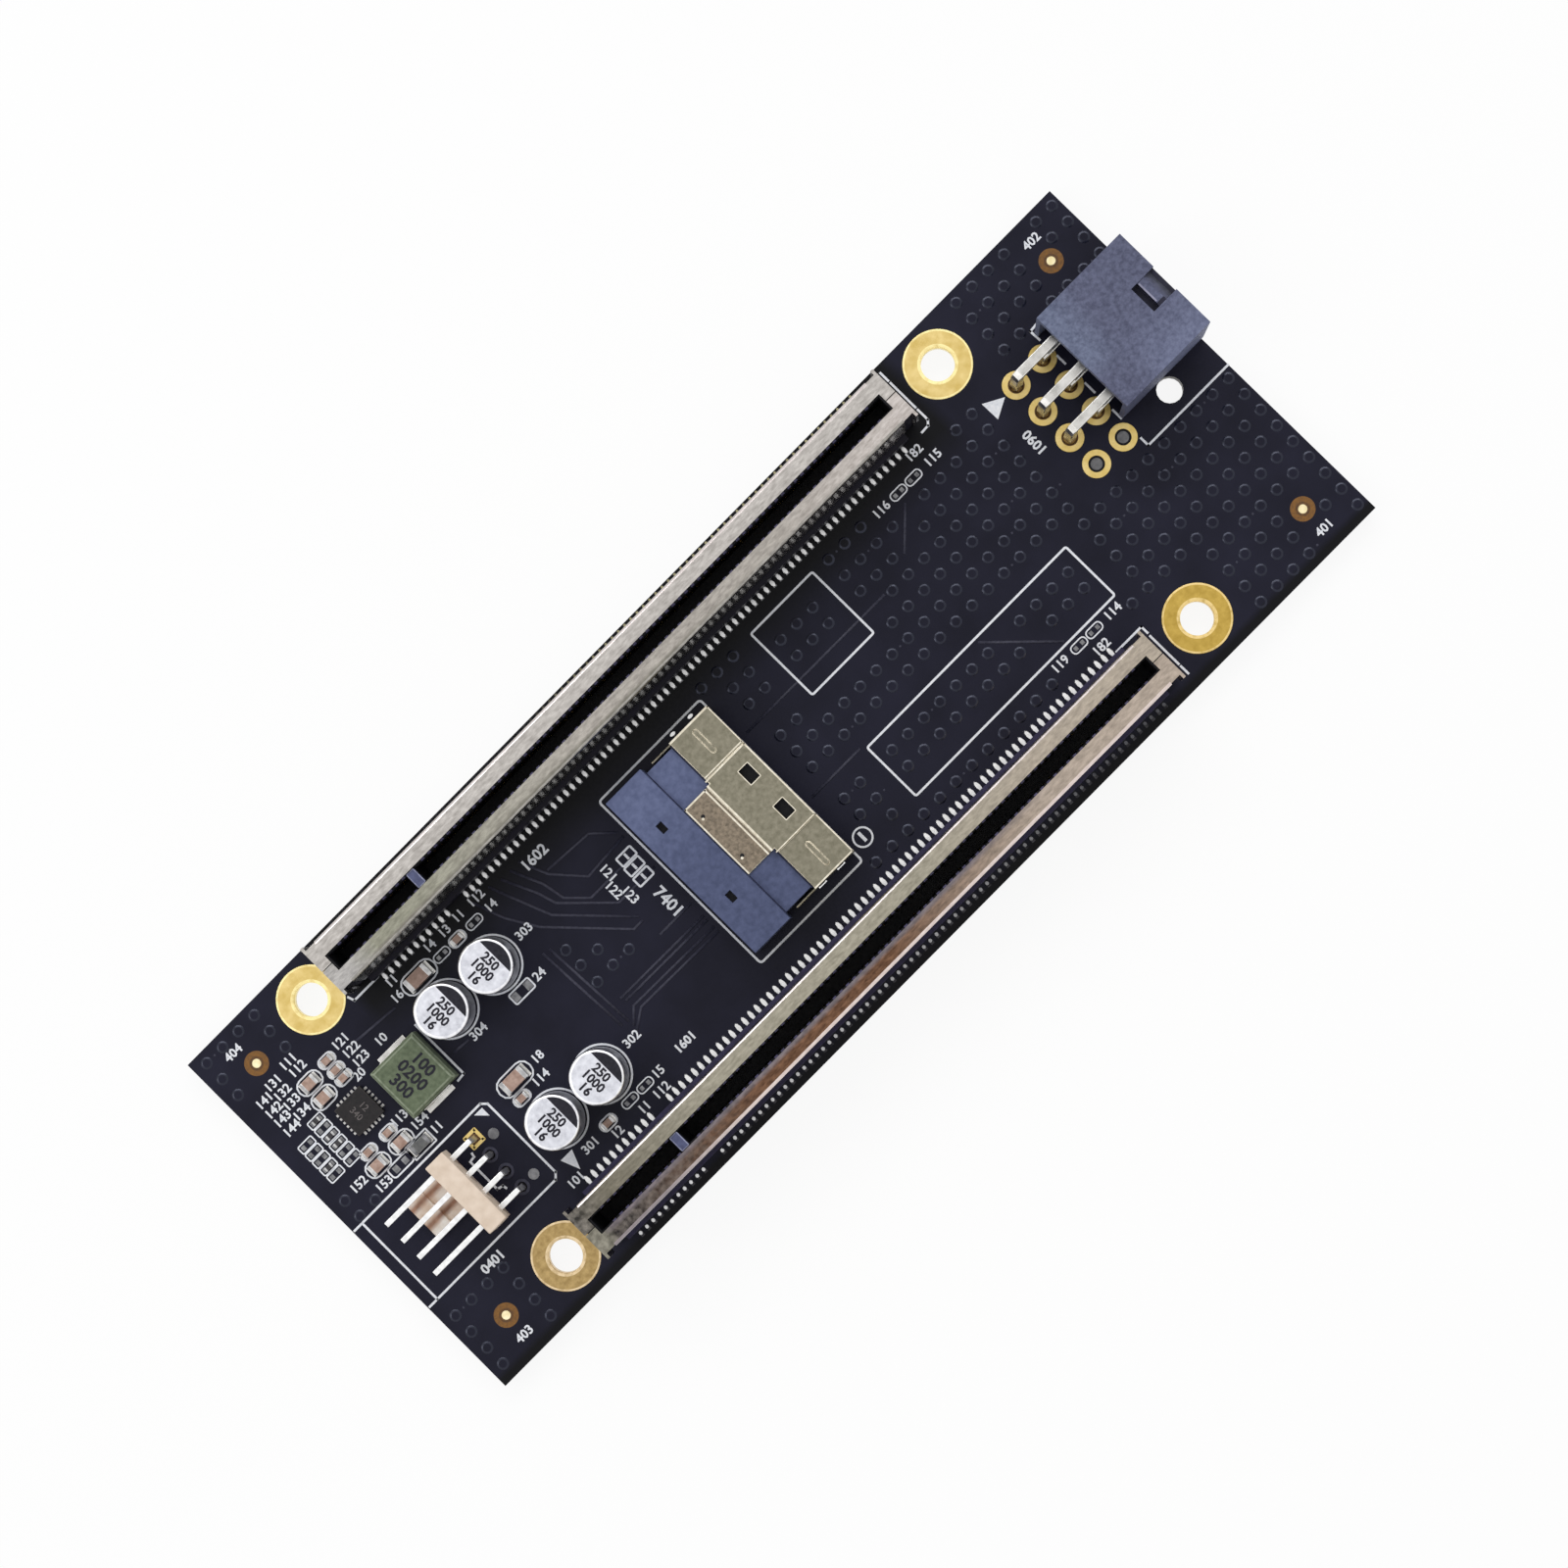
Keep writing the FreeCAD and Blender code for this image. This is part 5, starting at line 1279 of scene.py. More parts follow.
# %% Plain numbers
DIGIT_SIZE = 1.5
DIGIT_WEIGHT = 0.035
BOLD_WEIGHT = 0.05
HEAVY_WEIGHT = 0.11
ACROSS = -90.0
NUMBERS_ALONG = (
    ("404", -60.6, 22.3), ("402", 67.3, 22.5), ("401", 67.2, -23.3), ("403", -59.6, -23.2),
    ("121", -51.1, 14.6), ("122", -50.9, 13.1), ("123", -50.8, 11.6), ("111", -56.9, 17.2),
    ("112", -56.7, 15.9), ("131", -59.8, 16.7), ("132", -59.8, 15.2), ("133", -59.8, 13.7),
    ("134", -59.8, 12.1), ("141", -61.9, 16.0), ("142", -61.9, 14.5), ("143", -61.9, 13.1),
    ("144", -61.9, 11.6), ("10", -47.7, 11.5), ("20", -52.2, 10.5), ("113", -52.5, 3.8),
    ("154", -51.1, 1.95), ("11", -50.2, 0.1), ("152", -61.0, 1.8), ("153", -58.9, -0.2), ("16", -43.0, 13.6),
    ("304", -39.3, 4.3), ("303", -27.7, 8.6), ("24", -29.9, 4.0), ("302", -27.7, -8.5), ("18", -36.6, -2.4),
    ("114", -38.0, -4.3), ("301", -39.4, -13.6), ("15", -28.2, -13.2), ("12", -36.2, -14.7),
    ("14", -36.4, 15.0), ("13", -34.0, 15.0), ("11", -31.7, 15.1), ("112", -28.9, 15.1),
    ("14", -28.3, 13.3), ("11", -42.2, 15.3), ("101", -43.3, -15.2), ("112", -29.4, -14.9),
    ("11", -32.1, -14.9), ("116", 34.1, 13.3), ("115", 42.3, 13.3), ("182", 41.2, 15.2), ("119", 35.8, -13.1),
    ("114", 44.1, -13.1), ("182", 40.4, -15.0),
)
NUMBERS_ACROSS = (("121", -16.4, 6.5), ("122", -17.3, 4.7), ("123", -16.4, 3.0))
PART_NUMBERS = (
    ("1602", -21.0, 13.6, 0.0, 1.8), ("1601", -23.7, -13.0, 0.0, 1.45), ("0401", -56.4, -15.0, 0.0, 1.6),
    ("0601", 51.4, 6.4, ACROSS, 1.6), ("7401", -13.9, -0.6, ACROSS, 2.0), ("1", CIRCLE_X, CIRCLE_Y, 0.0, 1.6),
)


def press_number(print_shape, text, size, weight, x, y, z, turn):
    """A printed number with strokes made bolder by a weight, turned in degrees."""
    curve = bpy.data.curves.new("number", "FONT")
    curve.body = text
    curve.size = size
    curve.align_x = "CENTER"
    curve.align_y = "CENTER"
    curve.resolution_u = 2
    curve.offset = weight
    curve.extrude = (INK_TOP - INK_LOW) / 2
    shape = curve_as_bmesh(curve)
    bmesh.ops.translate(shape, verts=shape.verts, vec=(0.0, 0.0, (INK_TOP - INK_LOW) / 2))
    press_once(print_shape, as_stamp(shape), x, y, z, turn)


for numbers, turn in ((NUMBERS_ALONG, 0.0), (NUMBERS_ACROSS, ACROSS)):
    for text, x, y in numbers:
        press_number(ink, text, DIGIT_SIZE, DIGIT_WEIGHT, x, y, INK_LOW, turn)
for text, x, y, turn, size in PART_NUMBERS:
    weight = BOLD_WEIGHT if len(text) > 1 else HEAVY_WEIGHT
    press_number(ink, text, size, weight, x, y, INK_LOW, turn)
make_piece("white_print", ink, [white_ink])

# %% [markdown]
# ## Solder lands for the small parts
# Every small part sits on two tinned lands, and the empty places show theirs, duller because no solder has
# run on them. The regulator has a row of narrow lands on each of its four sides.

# %% Tinned lands
used_pads = bmesh.new()
spare_pads = bmesh.new()
PAD_TOP = 0.035
PAD_SINK = 0.01
CHIP_REACH = 0.22
CHIP_SPREAD = 0.1


def press_pad(pads, x, y, width, length):
    """A tinned land with a soft top edge, set slightly into the board."""
    press(pads, soft_block, x, y, BOARD_TOP - PAD_SINK, size=(width, length, PAD_TOP + PAD_SINK))


def press_pad_pair(low, high):
    """Two lands under the ends of a chip that lies along its longer side."""
    middle = (low + high) / 2
    if high.x - low.x > high.y - low.y:
        for x in (low.x, high.x):
            press_pad(used_pads, x, middle.y, 2 * CHIP_REACH, high.y - low.y + CHIP_SPREAD)
    else:
        for y in (low.y, high.y):
            press_pad(used_pads, middle.x, y, high.x - low.x + CHIP_SPREAD, 2 * CHIP_REACH)


for low, high in chip_boxes + fuse_boxes:
    press_pad_pair(low, high)
SPARE_PADS = [(x, y, 0.52, 0.5, 0.56) for x, y in TINY_PLACES]
SPARE_PADS += [(x, y, 0.5, 0.45, 0.5) for x, y in OVAL_PLACES]
SPARE_PADS += [(-56.05, 0.03, 0.7, 0.7, 0.8), (-32.6, 4.05, 0.95, 0.8, 1.0)]
for x, y, aside, width, length in SPARE_PADS:
    press_pad(spare_pads, x - aside, y, width, length)
    press_pad(spare_pads, x + aside, y, width, length)

REGULATOR_LANDS = 6
REGULATOR_PITCH = 0.55
REGULATOR_REACH = 0.12
NARROW = 0.28
LONG = 0.5
chip_low, chip_high = (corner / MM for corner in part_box("regulator_chip"))
regulator_lands = bmesh.new()
for place in range(REGULATOR_LANDS):
    shift = (place - (REGULATOR_LANDS - 1) / 2) * REGULATOR_PITCH
    x = (chip_low.x + chip_high.x) / 2 + shift
    y = (chip_low.y + chip_high.y) / 2 + shift
    for edge in (chip_low.y - REGULATOR_REACH, chip_high.y + REGULATOR_REACH):
        press_pad(regulator_lands, x, edge, NARROW, LONG)
    for edge in (chip_low.x - REGULATOR_REACH, chip_high.x + REGULATOR_REACH):
        press_pad(regulator_lands, edge, y, LONG, NARROW)
make_piece("regulator_lands", regulator_lands, [solder])
make_piece("chip_lands", used_pads, [bright_tin])
make_piece("spare_lands", spare_pads, [dull_tin])

# %% [markdown]
# A slot contact is soldered by a foot that comes out from under the slot. The foot itself is dull. The
# bright thing beside each slot is the solder at its tip, so each foot gets a flat dull land and on it a
# small bright bead. The beads are longer on one row, as the solder has run there.

# %% Contact lands of the slots
SLOT_ROWS = (SLOT_FROM_MIDDLE, -SLOT_FROM_MIDDLE)
FIRST_CONTACT = -42.33
KEY_GAP = 3.0
CONTACT_PLACES = [FIRST_CONTACT + step for step in range(11)]
CONTACT_PLACES += [CONTACT_PLACES[-1] + KEY_GAP + step for step in range(71)]
LAND_FROM_ROW = 4.15
FOOT_LAND = (0.44, 0.9, 0.03)
BEAD_ROWS = (
    ("upper_inner", SLOT_FROM_MIDDLE, -1, 4.1, (0.56, 1.05, 0.22), white_tin, dull_tin),
    ("lower_inner", -SLOT_FROM_MIDDLE, 1, 4.18, (0.62, 1.5, 0.22), white_tin, dull_tin),
    ("lower_outer", -SLOT_FROM_MIDDLE, -1, 4.12, (0.5, 0.56, 0.22), fading_tin, dark_solder),
    ("upper_outer", SLOT_FROM_MIDDLE, 1, 4.42, (0.36, 0.5, 0.22), edge_tan, dark_solder),
)
bead = disc_stamp(foot=0.5, top=0.42, height=1.0, sides=8)
for name, row, side, from_row, bead_size, bead_finish, land_finish in BEAD_ROWS:
    lands = bmesh.new()
    beads = bmesh.new()
    for x in CONTACT_PLACES:
        press(lands, unit_block, x, row + side * LAND_FROM_ROW, BOARD_TOP - PAD_SINK, size=FOOT_LAND)
        press(beads, bead, x, row + side * from_row, BOARD_TOP, size=bead_size)
    make_piece(f"{name}_foot_lands", lands, [land_finish])
    make_piece(f"{name}_foot_beads", beads, [bead_finish])

# %% [markdown]
# ## Card slots
# Each slot is a black moulded bar with a steel armour over it, in two folded halves that meet at the ends.
# Inside, rows of gold springs wait for a card. The softened copies of the armour catch a bright line on
# each fold. A fold also has a finish of its own, a lighter or darker copy of the steel that makes a painted
# highlight along it.

# %% Slot housings, armour and springs
FLANK_FROM = 2.15
ARMOUR_FINISHES = {
    "upper_slot_outer": (upper_outer_steel, white_highlight_fold), "upper_slot_inner": (upper_inner_steel, grey_highlight_fold),
    "lower_slot_outer": (lower_outer_steel, rosy_highlight_fold), "lower_slot_inner": (lower_inner_steel, white_highlight_fold),
}
# how far up a rounded fold face must point to take the fold's painted highlight
FOLD_FROM = {
    "upper_slot_outer": 0.6, "upper_slot_inner": 0.3, "lower_slot_outer": 0.1, "lower_slot_inner": 0.6,
}
FLANKS = {"upper_slot": slot_shade, "lower_slot": slot_navy}
for slot_name, row in zip(("upper_slot", "lower_slot"), SLOT_ROWS):
    moulding = solid_as_bmesh(f"{slot_name}_housing")
    soften(moulding, 0.08)
    # faces near the mouth take slot_black, painted shade inside the mouth; the flanks take navy, painted
    # darker on the upper slot as shade
    for face in moulding.faces:
        face.material_index = 1 if abs(face.calc_center_median().y - row) > FLANK_FROM else 0
    make_piece(f"{slot_name}_body", moulding, [slot_black, FLANKS[slot_name]],
               [f"{slot_name}_housing"])
    for half in ("outer", "inner"):
        side_name = f"{slot_name}_{half}"
        cover = solid_as_bmesh(f"{side_name}_armour")
        # the rounded strips of a fold lean in Y and Z only
        for face in cover.faces:
            face.smooth = 0.03 < abs(face.normal.z) < 0.97 and abs(face.normal.x) < 0.1
            face.material_index = 1 if face.smooth and face.normal.z > FOLD_FROM[side_name] else 0
        soften(cover, 0.07)
        make_piece(f"{side_name}_cover", cover, ARMOUR_FINISHES[side_name],
                   [f"{side_name}_armour"])
        nodes[f"{side_name}_contacts"].material_slots[0].material = contact_gold

# %% [markdown]
# A bridge in each mouth lets only the right card in. Its cap stands a little above the housing and has
# rounded edges. A fine comb of teeth stands along both sides of the mouth, one between each two springs. The
# teeth are plain blocks, because there are hundreds of them and only their tops show.

# %% Key bridges and teeth
KEY_PLACE = -30.83
KEY_WIDTH = 1.2
KEY_LENGTH = 2.16
KEY_TALL = 0.5
KEY_SINK = 0.2
housing_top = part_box("upper_slot_housing")[1].z / MM
bridges = bmesh.new()
bridge = bmesh.new()
bmesh.ops.create_cube(bridge, size=1.0)
bmesh.ops.scale(bridge, vec=(KEY_WIDTH, KEY_LENGTH, KEY_TALL), verts=bridge.verts)
soften(bridge, 0.16)
bridge_stamp = as_stamp(bridge)
for row in SLOT_ROWS:
    press(bridges, bridge_stamp, KEY_PLACE, row, housing_top - KEY_SINK)
make_piece("key_bridge_caps", bridges, [bridge_blue])

MOUTH_HALF = 0.9
TOOTH = (0.46, 0.26, 0.7)
TOOTH_SINK = 0.02
teeth = bmesh.new()
for row in SLOT_ROWS:
    for side in (-1, 1):
        for x in CONTACT_PLACES[:-1]:
            press(teeth, unit_block, x + 0.5, row + side * (MOUTH_HALF + TOOTH[1] / 2),
                  housing_top - TOOTH[2] - TOOTH_SINK, size=TOOTH)
make_piece("slot_mouth_teeth", teeth, [tooth_navy])

# %% [markdown]
# ## Cable socket
# A slate-blue moulding carries an olive nickel shell. The shell's hump, its two latch windows and the long
# embossed ribs already exist as solids, so the copies only need softened edges.

# %% Socket shell, moulding and contacts
softened_copy("cable_socket_cover", "cable_socket_shell", 0.09, shell_nickel, 20.0)
softened_copy("cable_socket_body", "cable_socket_housing", 0.06, socket_blue)
for node in ("cable_socket_upper_contacts", "cable_socket_lower_contacts"):
    nodes[node].material_slots[0].material = spring_gold

# %% [markdown]
# Every fold and cut edge of the shell shows a bright line, wider than a bevel on thin sheet can show. So
# narrow strips of painted highlight lie along the edges and round the windows, a tenth of the sheet's
# thickness or less. Each strip is given by its two ends, its width and the height of the face that it lies
# on.

# %% Painted highlights on the socket's edges
MOUTH_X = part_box("cable_socket_shell")[1].x / MM
SHELL_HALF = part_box("cable_socket_shell")[1].y / MM
CREST_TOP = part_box("cable_socket_shell")[1].z / MM
WING_TOP = CREST_TOP - 0.35
TONGUE_TOP = CREST_TOP - 0.6
SHELL_BACK = MOUTH_X - 5.95
LIP_X = SHELL_BACK - 0.5
TONGUE_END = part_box("cable_socket_shell")[0].x / MM
HUMP_HALF = 5.6
TONGUE_HALF = 5.05
STRIP = 0.012
BRIGHT_EDGES = (
    ((SHELL_BACK + 0.1, SHELL_HALF - 0.14), (MOUTH_X - 0.15, SHELL_HALF - 0.14), 0.24, WING_TOP),
    ((SHELL_BACK + 0.1, 0.12 - SHELL_HALF), (MOUTH_X - 0.15, 0.12 - SHELL_HALF), 0.18, WING_TOP),
    ((MOUTH_X - 0.1, HUMP_HALF + 0.2), (MOUTH_X - 0.1, SHELL_HALF - 0.15), 0.14, WING_TOP),
    ((MOUTH_X - 0.1, 0.15 - SHELL_HALF), (MOUTH_X - 0.1, -HUMP_HALF - 0.2), 0.16, WING_TOP),
    ((MOUTH_X - 0.12, 0.15 - HUMP_HALF), (MOUTH_X - 0.12, HUMP_HALF - 0.15), 0.18, CREST_TOP),
    ((LIP_X + 0.4, HUMP_HALF - 0.11), (MOUTH_X - 0.15, HUMP_HALF - 0.11), 0.18, CREST_TOP),
    ((SHELL_BACK + 0.1, HUMP_HALF + 0.28), (MOUTH_X - 0.15, HUMP_HALF + 0.28), 0.16, WING_TOP),
    ((LIP_X + 0.4, 0.1 - HUMP_HALF), (MOUTH_X - 0.15, 0.1 - HUMP_HALF), 0.14, CREST_TOP),
    ((LIP_X + 0.16, 0.1 - TONGUE_HALF), (LIP_X + 0.16, TONGUE_HALF - 0.1), 0.24, CREST_TOP),
    ((LIP_X - 0.42, 0.1 - TONGUE_HALF), (LIP_X - 0.42, TONGUE_HALF - 0.1), 0.2, TONGUE_TOP),
    ((TONGUE_END + 0.14, TONGUE_HALF - 0.12), (LIP_X - 0.35, TONGUE_HALF - 0.12), 0.2, TONGUE_TOP),
    ((TONGUE_END + 0.12, 0.12 - TONGUE_HALF), (TONGUE_END + 0.12, TONGUE_HALF - 0.12), 0.18, TONGUE_TOP),
)
WINDOW_X = MOUTH_X - 2.06
WINDOW_Y = 2.73
bright_edges = bmesh.new()
# strips of painted highlight along the shell's edges, and rims of it round the windows
for start, end, width, height in BRIGHT_EDGES:
    stroke(bright_edges, start, end, width, height - STRIP, height + STRIP)
window_rim = frame_stamp(width=1.62, length=2.22, corner=0.12, line=0.1, height=2 * STRIP)
for y in (-WINDOW_Y, WINDOW_Y):
    press(bright_edges, window_rim, WINDOW_X, y, CREST_TOP - STRIP)
make_piece("socket_bright_edges", bright_edges, [highlight_nickel])

# %% [markdown]
# The tongue at the back is rougher than the rest of the shell, so a thin plate lies on it. Its two round
# dimples from the tool are dark discs of painted shade, each with a small painted glint beside it. Black
# plates paint the shade in the windows and in the two small pockets of the moulding, and dark lines of
# painted shade mark its steps.

# %% Tongue, shades and solder of the socket
tongue_skin = bmesh.new()
press(tongue_skin, soft_block, (LIP_X + TONGUE_END) / 2, 0.0, TONGUE_TOP - STRIP,
      size=(LIP_X - TONGUE_END - 0.2, 2 * TONGUE_HALF - 0.2, 1.6 * STRIP))
make_piece("socket_tongue_skin", tongue_skin, [tongue_nickel])

NOSE_TOP = 6.2
LEDGE_TOP = 6.4
POCKET_X = -8.23
POCKET_Y = 5.4
POCKET_FLOOR = 6.3
PLATE = 0.05
PLATE_SINK = 0.02
shades = bmesh.new()
glints = bmesh.new()
DIMPLE_X = TONGUE_END + 1.0
DIMPLE_Y = 3.05
GLINT_ASIDE = 0.2
dimple = disc_stamp(foot=0.26, top=0.24, height=2.2 * STRIP, sides=14)
glint = disc_stamp(foot=0.2, top=0.16, height=2.6 * STRIP, sides=12)
# black plates of painted shade in the windows and pockets, and each dimple as a dark disc of painted shade
# with a painted glint
for side in (-1, 1):
    press(shades, unit_block, WINDOW_X, side * WINDOW_Y, NOSE_TOP - PLATE_SINK, size=(2.0, 2.7, PLATE))
    press(shades, unit_block, POCKET_X, side * POCKET_Y, POCKET_FLOOR - PLATE_SINK, size=(0.78, 1.2, PLATE))
    press(shades, dimple, DIMPLE_X, side * DIMPLE_Y, TONGUE_TOP - STRIP)
    press(glints, glint, DIMPLE_X - GLINT_ASIDE, side * DIMPLE_Y - GLINT_ASIDE, TONGUE_TOP - STRIP)
make_piece("socket_shades", shades, [slot_black])
make_piece("socket_dimple_glints", glints, [highlight_nickel])

# dark lines of painted shade along the steps of the moulding
step_lines = bmesh.new()
for side in (-1, 1):
    near = side * (TONGUE_HALF + 0.25)
    far = side * (SHELL_HALF - 0.5)
    for x, width in ((TONGUE_END - 0.05, 0.14), (SHELL_BACK - 0.1, 0.22)):
        stroke(step_lines, (x, near), (x, far), width, LEDGE_TOP - PLATE_SINK, LEDGE_TOP + STRIP)
make_piece("socket_step_lines", step_lines, [socket_shade])

TAB_SOLDER_X = (-0.2, 2.6)
TAB_SOLDER_Y = 12.3
TAB_BEAD = (0.9, 0.5, 0.3)
tab_solder = bmesh.new()
for x in TAB_SOLDER_X:
    press(tab_solder, bead, x, TAB_SOLDER_Y, BOARD_TOP, size=TAB_BEAD)
make_piece("socket_tab_solder", tab_solder, [white_tin])

# %% [markdown]
# ## Power and fan headers
# Both are plain mouldings with bent square pins of bright tin. The power header has a pocket for a latch in
# its front edge. The faces of the pocket are found by their place, and get a darker finish than the rest as
# painted shade, or the finish of a ramp where they slope, painted darker towards the front as shade.

# %% Header mouldings and pins
header_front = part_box("power_header_housing")[1].x / MM
header_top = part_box("power_header_housing")[1].z / MM
LATCH_LENGTH = 3.45
LATCH_HALF = 1.75
LATCH_MIDDLE = 8.18
POCKET_ROOM = 0.1
POCKET_DEEP = 1.3
POCKET_FROM = 0.2
power_body = solid_as_bmesh("power_header_housing")
soften(power_body, 0.1)
for face in power_body.faces:
    centre = face.calc_center_median()
    behind_front = centre.x > header_front - LATCH_LENGTH - POCKET_ROOM
    by_latch = abs(centre.y - LATCH_MIDDLE) < LATCH_HALF + POCKET_ROOM
    below = header_top - POCKET_DEEP < centre.z < header_top - POCKET_FROM
    # pocket faces take a darker finish as painted shade, and sloping ones the ramp's finish with its painted
    # shade
    if behind_front and by_latch and below:
        face.material_index = 2 if 0.3 < face.normal.z < 0.95 else 1
make_piece("power_header_body", power_body, [header_slate, pocket_shade, ramp_colour_and_shade],
           ["power_header_housing"])
softened_copy("power_upper_pins", "power_header_upper_pins", 0.09, pin_tin, 50.0)
softened_copy("power_lower_pins", "power_header_lower_pins", 0.09, pin_tin, 50.0)
softened_copy("fan_header_body", "fan_header_base", 0.12, fan_beige)
softened_copy("fan_pins", "fan_header_pins", 0.06, white_tin, 50.0)

# %% [markdown]
# Two thin strips finish the latch: a dark one of painted shade where a gap runs beside the ramp, and a pale
# one of painted highlight along its back edge.

# %% Strips on the latch
RAMP_TOP = header_top - 0.15
RAMP_BACK = header_front - LATCH_LENGTH + 0.9
GAP_Y = LATCH_MIDDLE - LATCH_HALF + 0.24
# a dark strip of painted shade for the gap beside the ramp
latch_gap = bmesh.new()
press(latch_gap, unit_block, RAMP_BACK + 0.52, GAP_Y, RAMP_TOP - STRIP, size=(1.0, 0.46, 2 * STRIP))
make_piece("latch_gap_shade", latch_gap, [pocket_shade])
# a pale strip of painted highlight along the ramp's back edge
latch_highlight = bmesh.new()
press(latch_highlight, unit_block, RAMP_BACK + 0.12, LATCH_MIDDLE + 0.25, RAMP_TOP - STRIP,
      size=(0.2, 2.7, 2 * STRIP))
make_piece("latch_back_highlight", latch_highlight, [highlight_slate])

# %% [markdown]
# Cones of solder rise round the pins where they go through the board, dark and stained above, and taller
# bright ones stand below. Each kind is turned from its own profile and pressed at its pins and leads.

# %% Solder cones
tails = bmesh.new()
power_cones = bmesh.new()
fan_cones = bmesh.new()
power_cone = as_stamp(turned([(0.0, 0.0), (0.9, 0.0), (0.72, 0.1), (0.6, 0.3), (0.0, 0.36)], 20, False))
fan_cone = as_stamp(turned([(0.0, 0.0), (0.56, 0.0), (0.46, 0.06), (0.36, 0.2), (0.0, 0.24)], 16, False))
tail_cone = as_stamp(turned([(0.0, 0.0), (1.25, 0.0), (0.9, 0.14), (0.6, 0.55), (0.0, 0.8)], 20, False))
small_tail = as_stamp(turned([(0.0, 0.0), (0.8, 0.0), (0.58, 0.1), (0.4, 0.45), (0.0, 0.66)], 16, False))
for x in POWER_ROWS:
    for y in PINNED_COLUMNS:
        press(power_cones, power_cone, x, y, BOARD_TOP)
        press(tails, tail_cone, x, y, 0.0, size=TURNED_OVER)
for y in FAN_COLUMNS:
    press(tails, small_tail, FAN_ROW, y, 0.0, size=TURNED_OVER)
for y in FAN_COLUMNS[1:]:
    press(fan_cones, fan_cone, FAN_ROW, y, BOARD_TOP)
for low, high in solids_in("capacitor_leads"):
    press(tails, small_tail, (low.x + high.x) / 2, (low.y + high.y) / 2, 0.0, size=TURNED_OVER)
bmesh.ops.recalc_face_normals(tails, faces=tails.faces)
make_piece("solder_tails", tails, [solder])
make_piece("power_solder", power_cones, [flux_gold])
make_piece("fan_solder", fan_cones, [dark_solder])

# %% [markdown]
# ## Capacitor cans
# Each can is drawn aluminium, rolled in at the foot and rounded over at the top. It is turned from one
# profile. A black printed segment marks one side of the top, and plain numbers stand on the rest.

# %% Cans
CAN_FOOT = CANS[0][0].z / MM
CAN_TALL = (CANS[0][1].z - CANS[0][0].z) / MM
can_profile = [(0.0, 0.0), (2.88, 0.0), (2.9, 0.5), (2.97, 0.75), (3.15, 0.95), (3.15, 5.62), (3.12, 5.8),
               (3.03, 5.92), (2.9, 5.98), (2.78, CAN_TALL), (0.0, CAN_TALL)]
CAN_RIM_FROM = 5.8
CAN_FLAT_FROM = 0.99
for number, (x, y) in enumerate(CAN_PLACES, start=1):
    can = turned(can_profile, sides=64, closed=False)
    # the rounded rim at the top takes the pale edge colour, partly scuffing and partly painted highlight
    mark_scuff_and_highlight(can, lambda face: face.calc_center_median().z > CAN_RIM_FROM and face.normal.z < CAN_FLAT_FROM)
    bmesh.ops.translate(can, verts=can.verts, vec=(x, y, CAN_FOOT))
    make_piece(f"can_{number}", can, [can_aluminium], [f"capacitor_can_{number}"])

# %% [markdown]
# The segment on the top of a can is a thin disc with one side cut off by a plane, and the cut is filled
# again. Segment and digits are sunk a little into the metal, so that no gap shows under them.

# %% Print on the cans
SEGMENT_RADIUS = 2.82
SEGMENT_FROM = 1.5
SEGMENT_TALL = 0.03
PRINT_SINK = 0.015
segment = bmesh.new()
bmesh.ops.create_cone(segment, cap_ends=True, cap_tris=False, segments=64, radius1=SEGMENT_RADIUS,
                      radius2=SEGMENT_RADIUS, depth=SEGMENT_TALL)
bmesh.ops.bisect_plane(segment, geom=segment.verts[:] + segment.edges[:] + segment.faces[:],
                       plane_co=(SEGMENT_FROM, 0.0, 0.0), plane_no=(1.0, 0.0, 0.0), clear_inner=True)
bmesh.ops.holes_fill(segment, edges=segment.edges[:], sides=8)
segment_stamp = as_stamp(segment)
can_print = bmesh.new()
CAN_NUMBERS = (("250", 0.72), ("1000", -0.55), ("16", -1.82))
CAN_PRINT_Z = CAN_FOOT + CAN_TALL
for x, y in CAN_PLACES:
    press(can_print, segment_stamp, x, y, CAN_PRINT_Z)
    for text, along in CAN_NUMBERS:
        press_number(can_print, text, DIGIT_SIZE, BOLD_WEIGHT, x + along, y, CAN_PRINT_Z - PRINT_SINK, ACROSS)
make_piece("can_print", can_print, [black_ink])

# %% [markdown]
# ## Inductor, regulator and chips
# The inductor is a pressed green block with tinned ends. The regulator is a flat black chip with lands all
# round it. Both carry rows of plain digits, black on the inductor and a dull grey on the regulator.

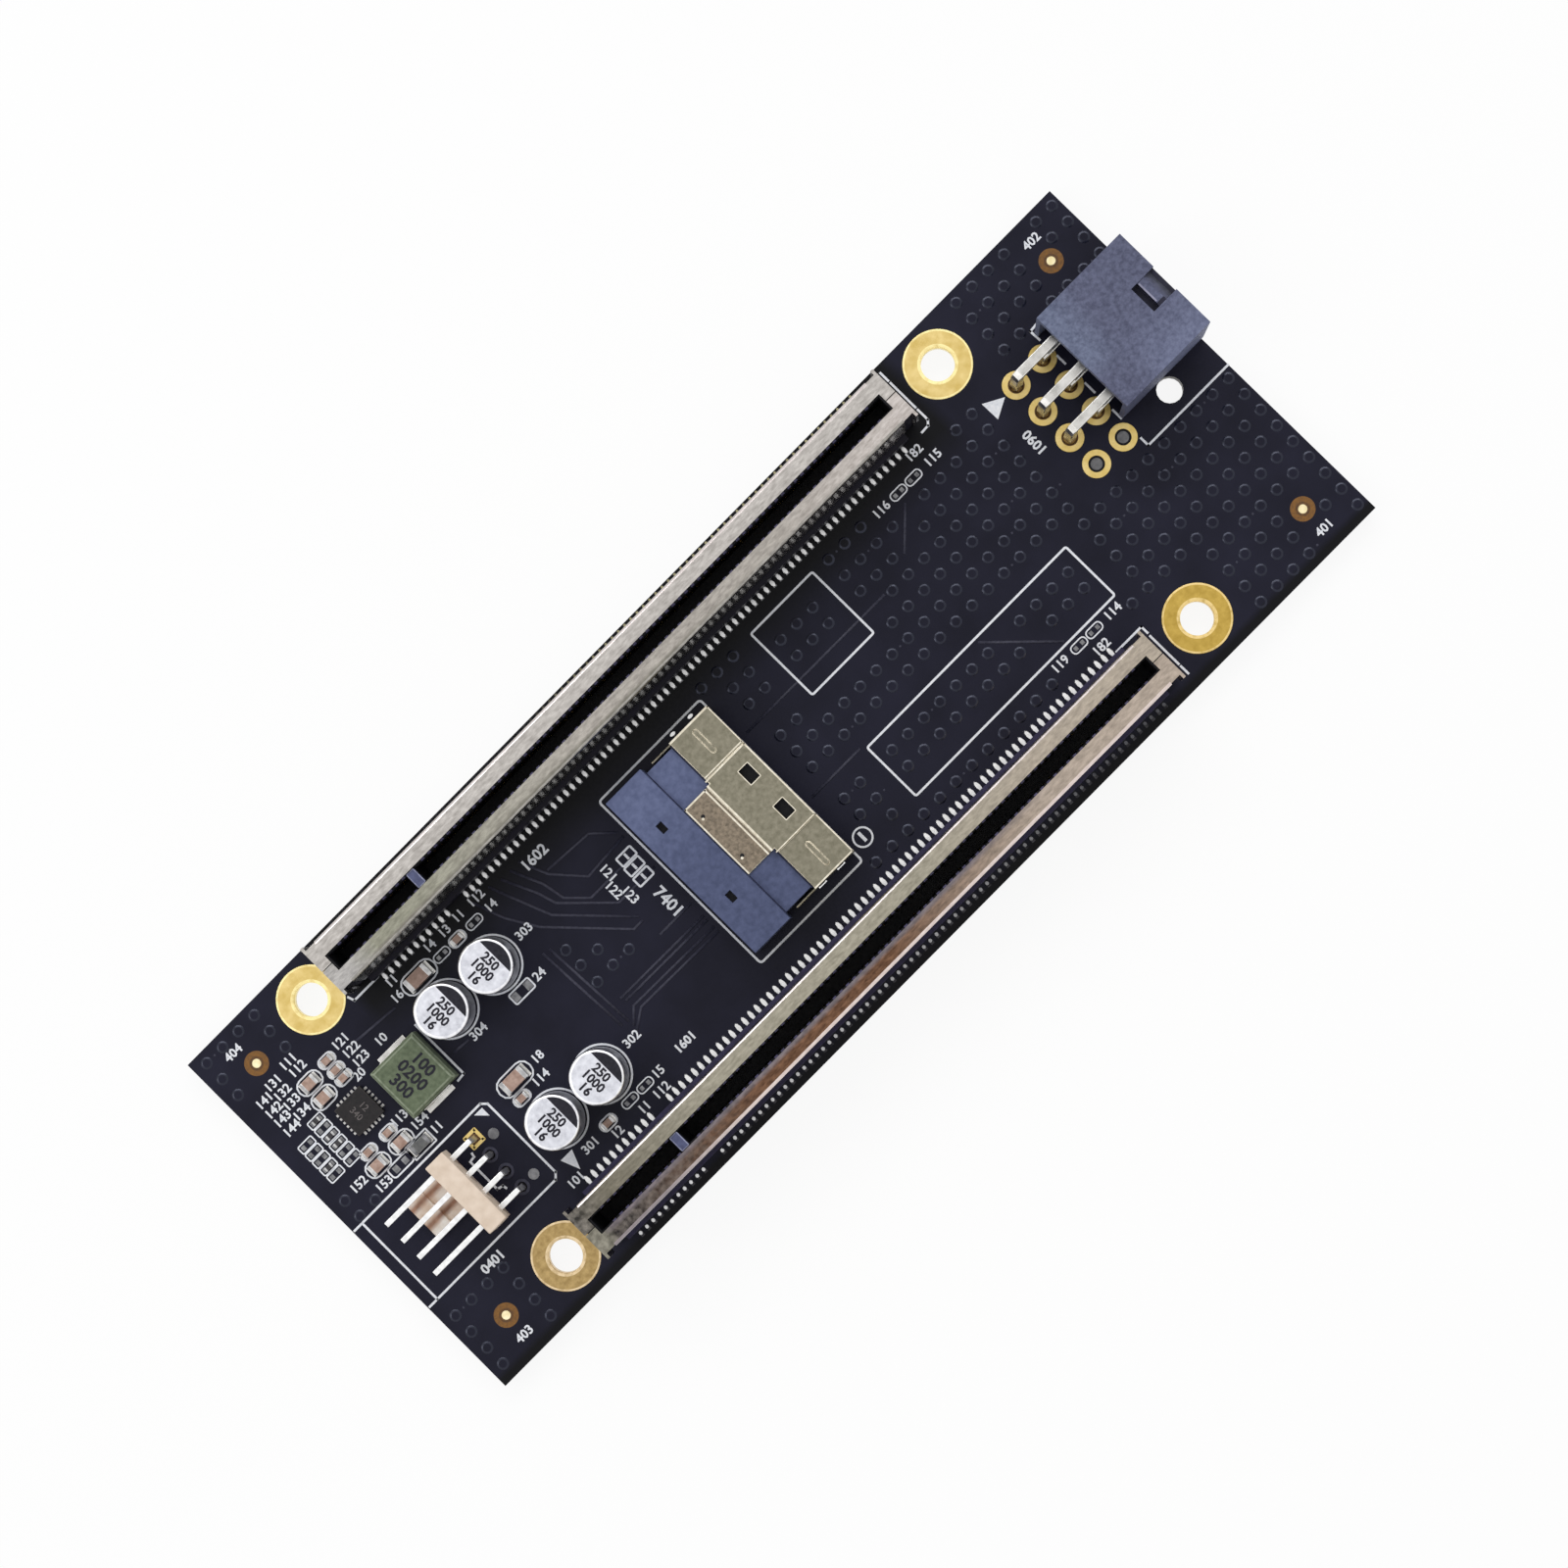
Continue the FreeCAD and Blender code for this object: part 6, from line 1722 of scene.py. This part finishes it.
# %% Inductor and regulator
INDUCTOR_DIGIT = 2.0
CHIP_DIGIT = 1.1
CHIP_WEIGHT = 0.01
CHIP_PRINT_SINK = 0.05
softened_copy("inductor_block", "inductor_core", 0.12, core_green, 20.0)
softened_copy("inductor_ends", "inductor_terminals", 0.05, pin_tin)
core_low, core_high = (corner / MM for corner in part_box("inductor_core"))
core_middle = (core_low + core_high) / 2
inductor_print = bmesh.new()
for text, along in (("100", 1.75), ("0200", 0.0), ("300", -1.75)):
    press_number(inductor_print, text, INDUCTOR_DIGIT, BOLD_WEIGHT, core_middle.x + along, core_middle.y,
                 core_high.z - PRINT_SINK, ACROSS)
make_piece("inductor_print", inductor_print, [black_ink])
softened_copy("regulator", "regulator_chip", 0.08, chip_black)
chip_middle = (chip_low + chip_high) / 2
chip_print = bmesh.new()
for text, along in (("12", 0.75), ("340", -0.45)):
    press_number(chip_print, text, CHIP_DIGIT, CHIP_WEIGHT, chip_middle.x + along, chip_middle.y,
                 chip_high.z - CHIP_PRINT_SINK, ACROSS)
make_piece("regulator_print", chip_print, [chip_ink])

# %% [markdown]
# The chip capacitors are tan ceramic with tinned end caps. The resistors are black, and the fuse is grey with
# duller ends. Each kind is a softened copy of its solids, bodies and caps apart. The board and the leads of
# the cans keep their own solids and only change their finish.

# %% Chips, board and leads
CHIP_SOFT = 0.05
CHIP_FINISHES = (
    (CHIPS[0], ceramic_tan, "capacitor_ceramic"), (CHIPS[1], ceramic_tan, "capacitor_ceramic"),
    (CHIPS[2], ceramic_tan, "capacitor_ceramic"), ("chip_resistors", film_black, "resistor_film"),
    ("chip_fuse", fuse_grey, "fuse_body"),
)
for node, material, slot_name in CHIP_FINISHES:
    cap_finish = dull_tin if node == "chip_fuse" else cap_tin
    softened_copy(node + "_bodies", node, CHIP_SOFT, material)
    softened_copy(node + "_caps", node + "_ends", CHIP_SOFT, cap_finish)
nodes["circuit_board"].material_slots[0].material = lacquer
nodes["capacitor_leads"].material_slots[0].material = bright_tin
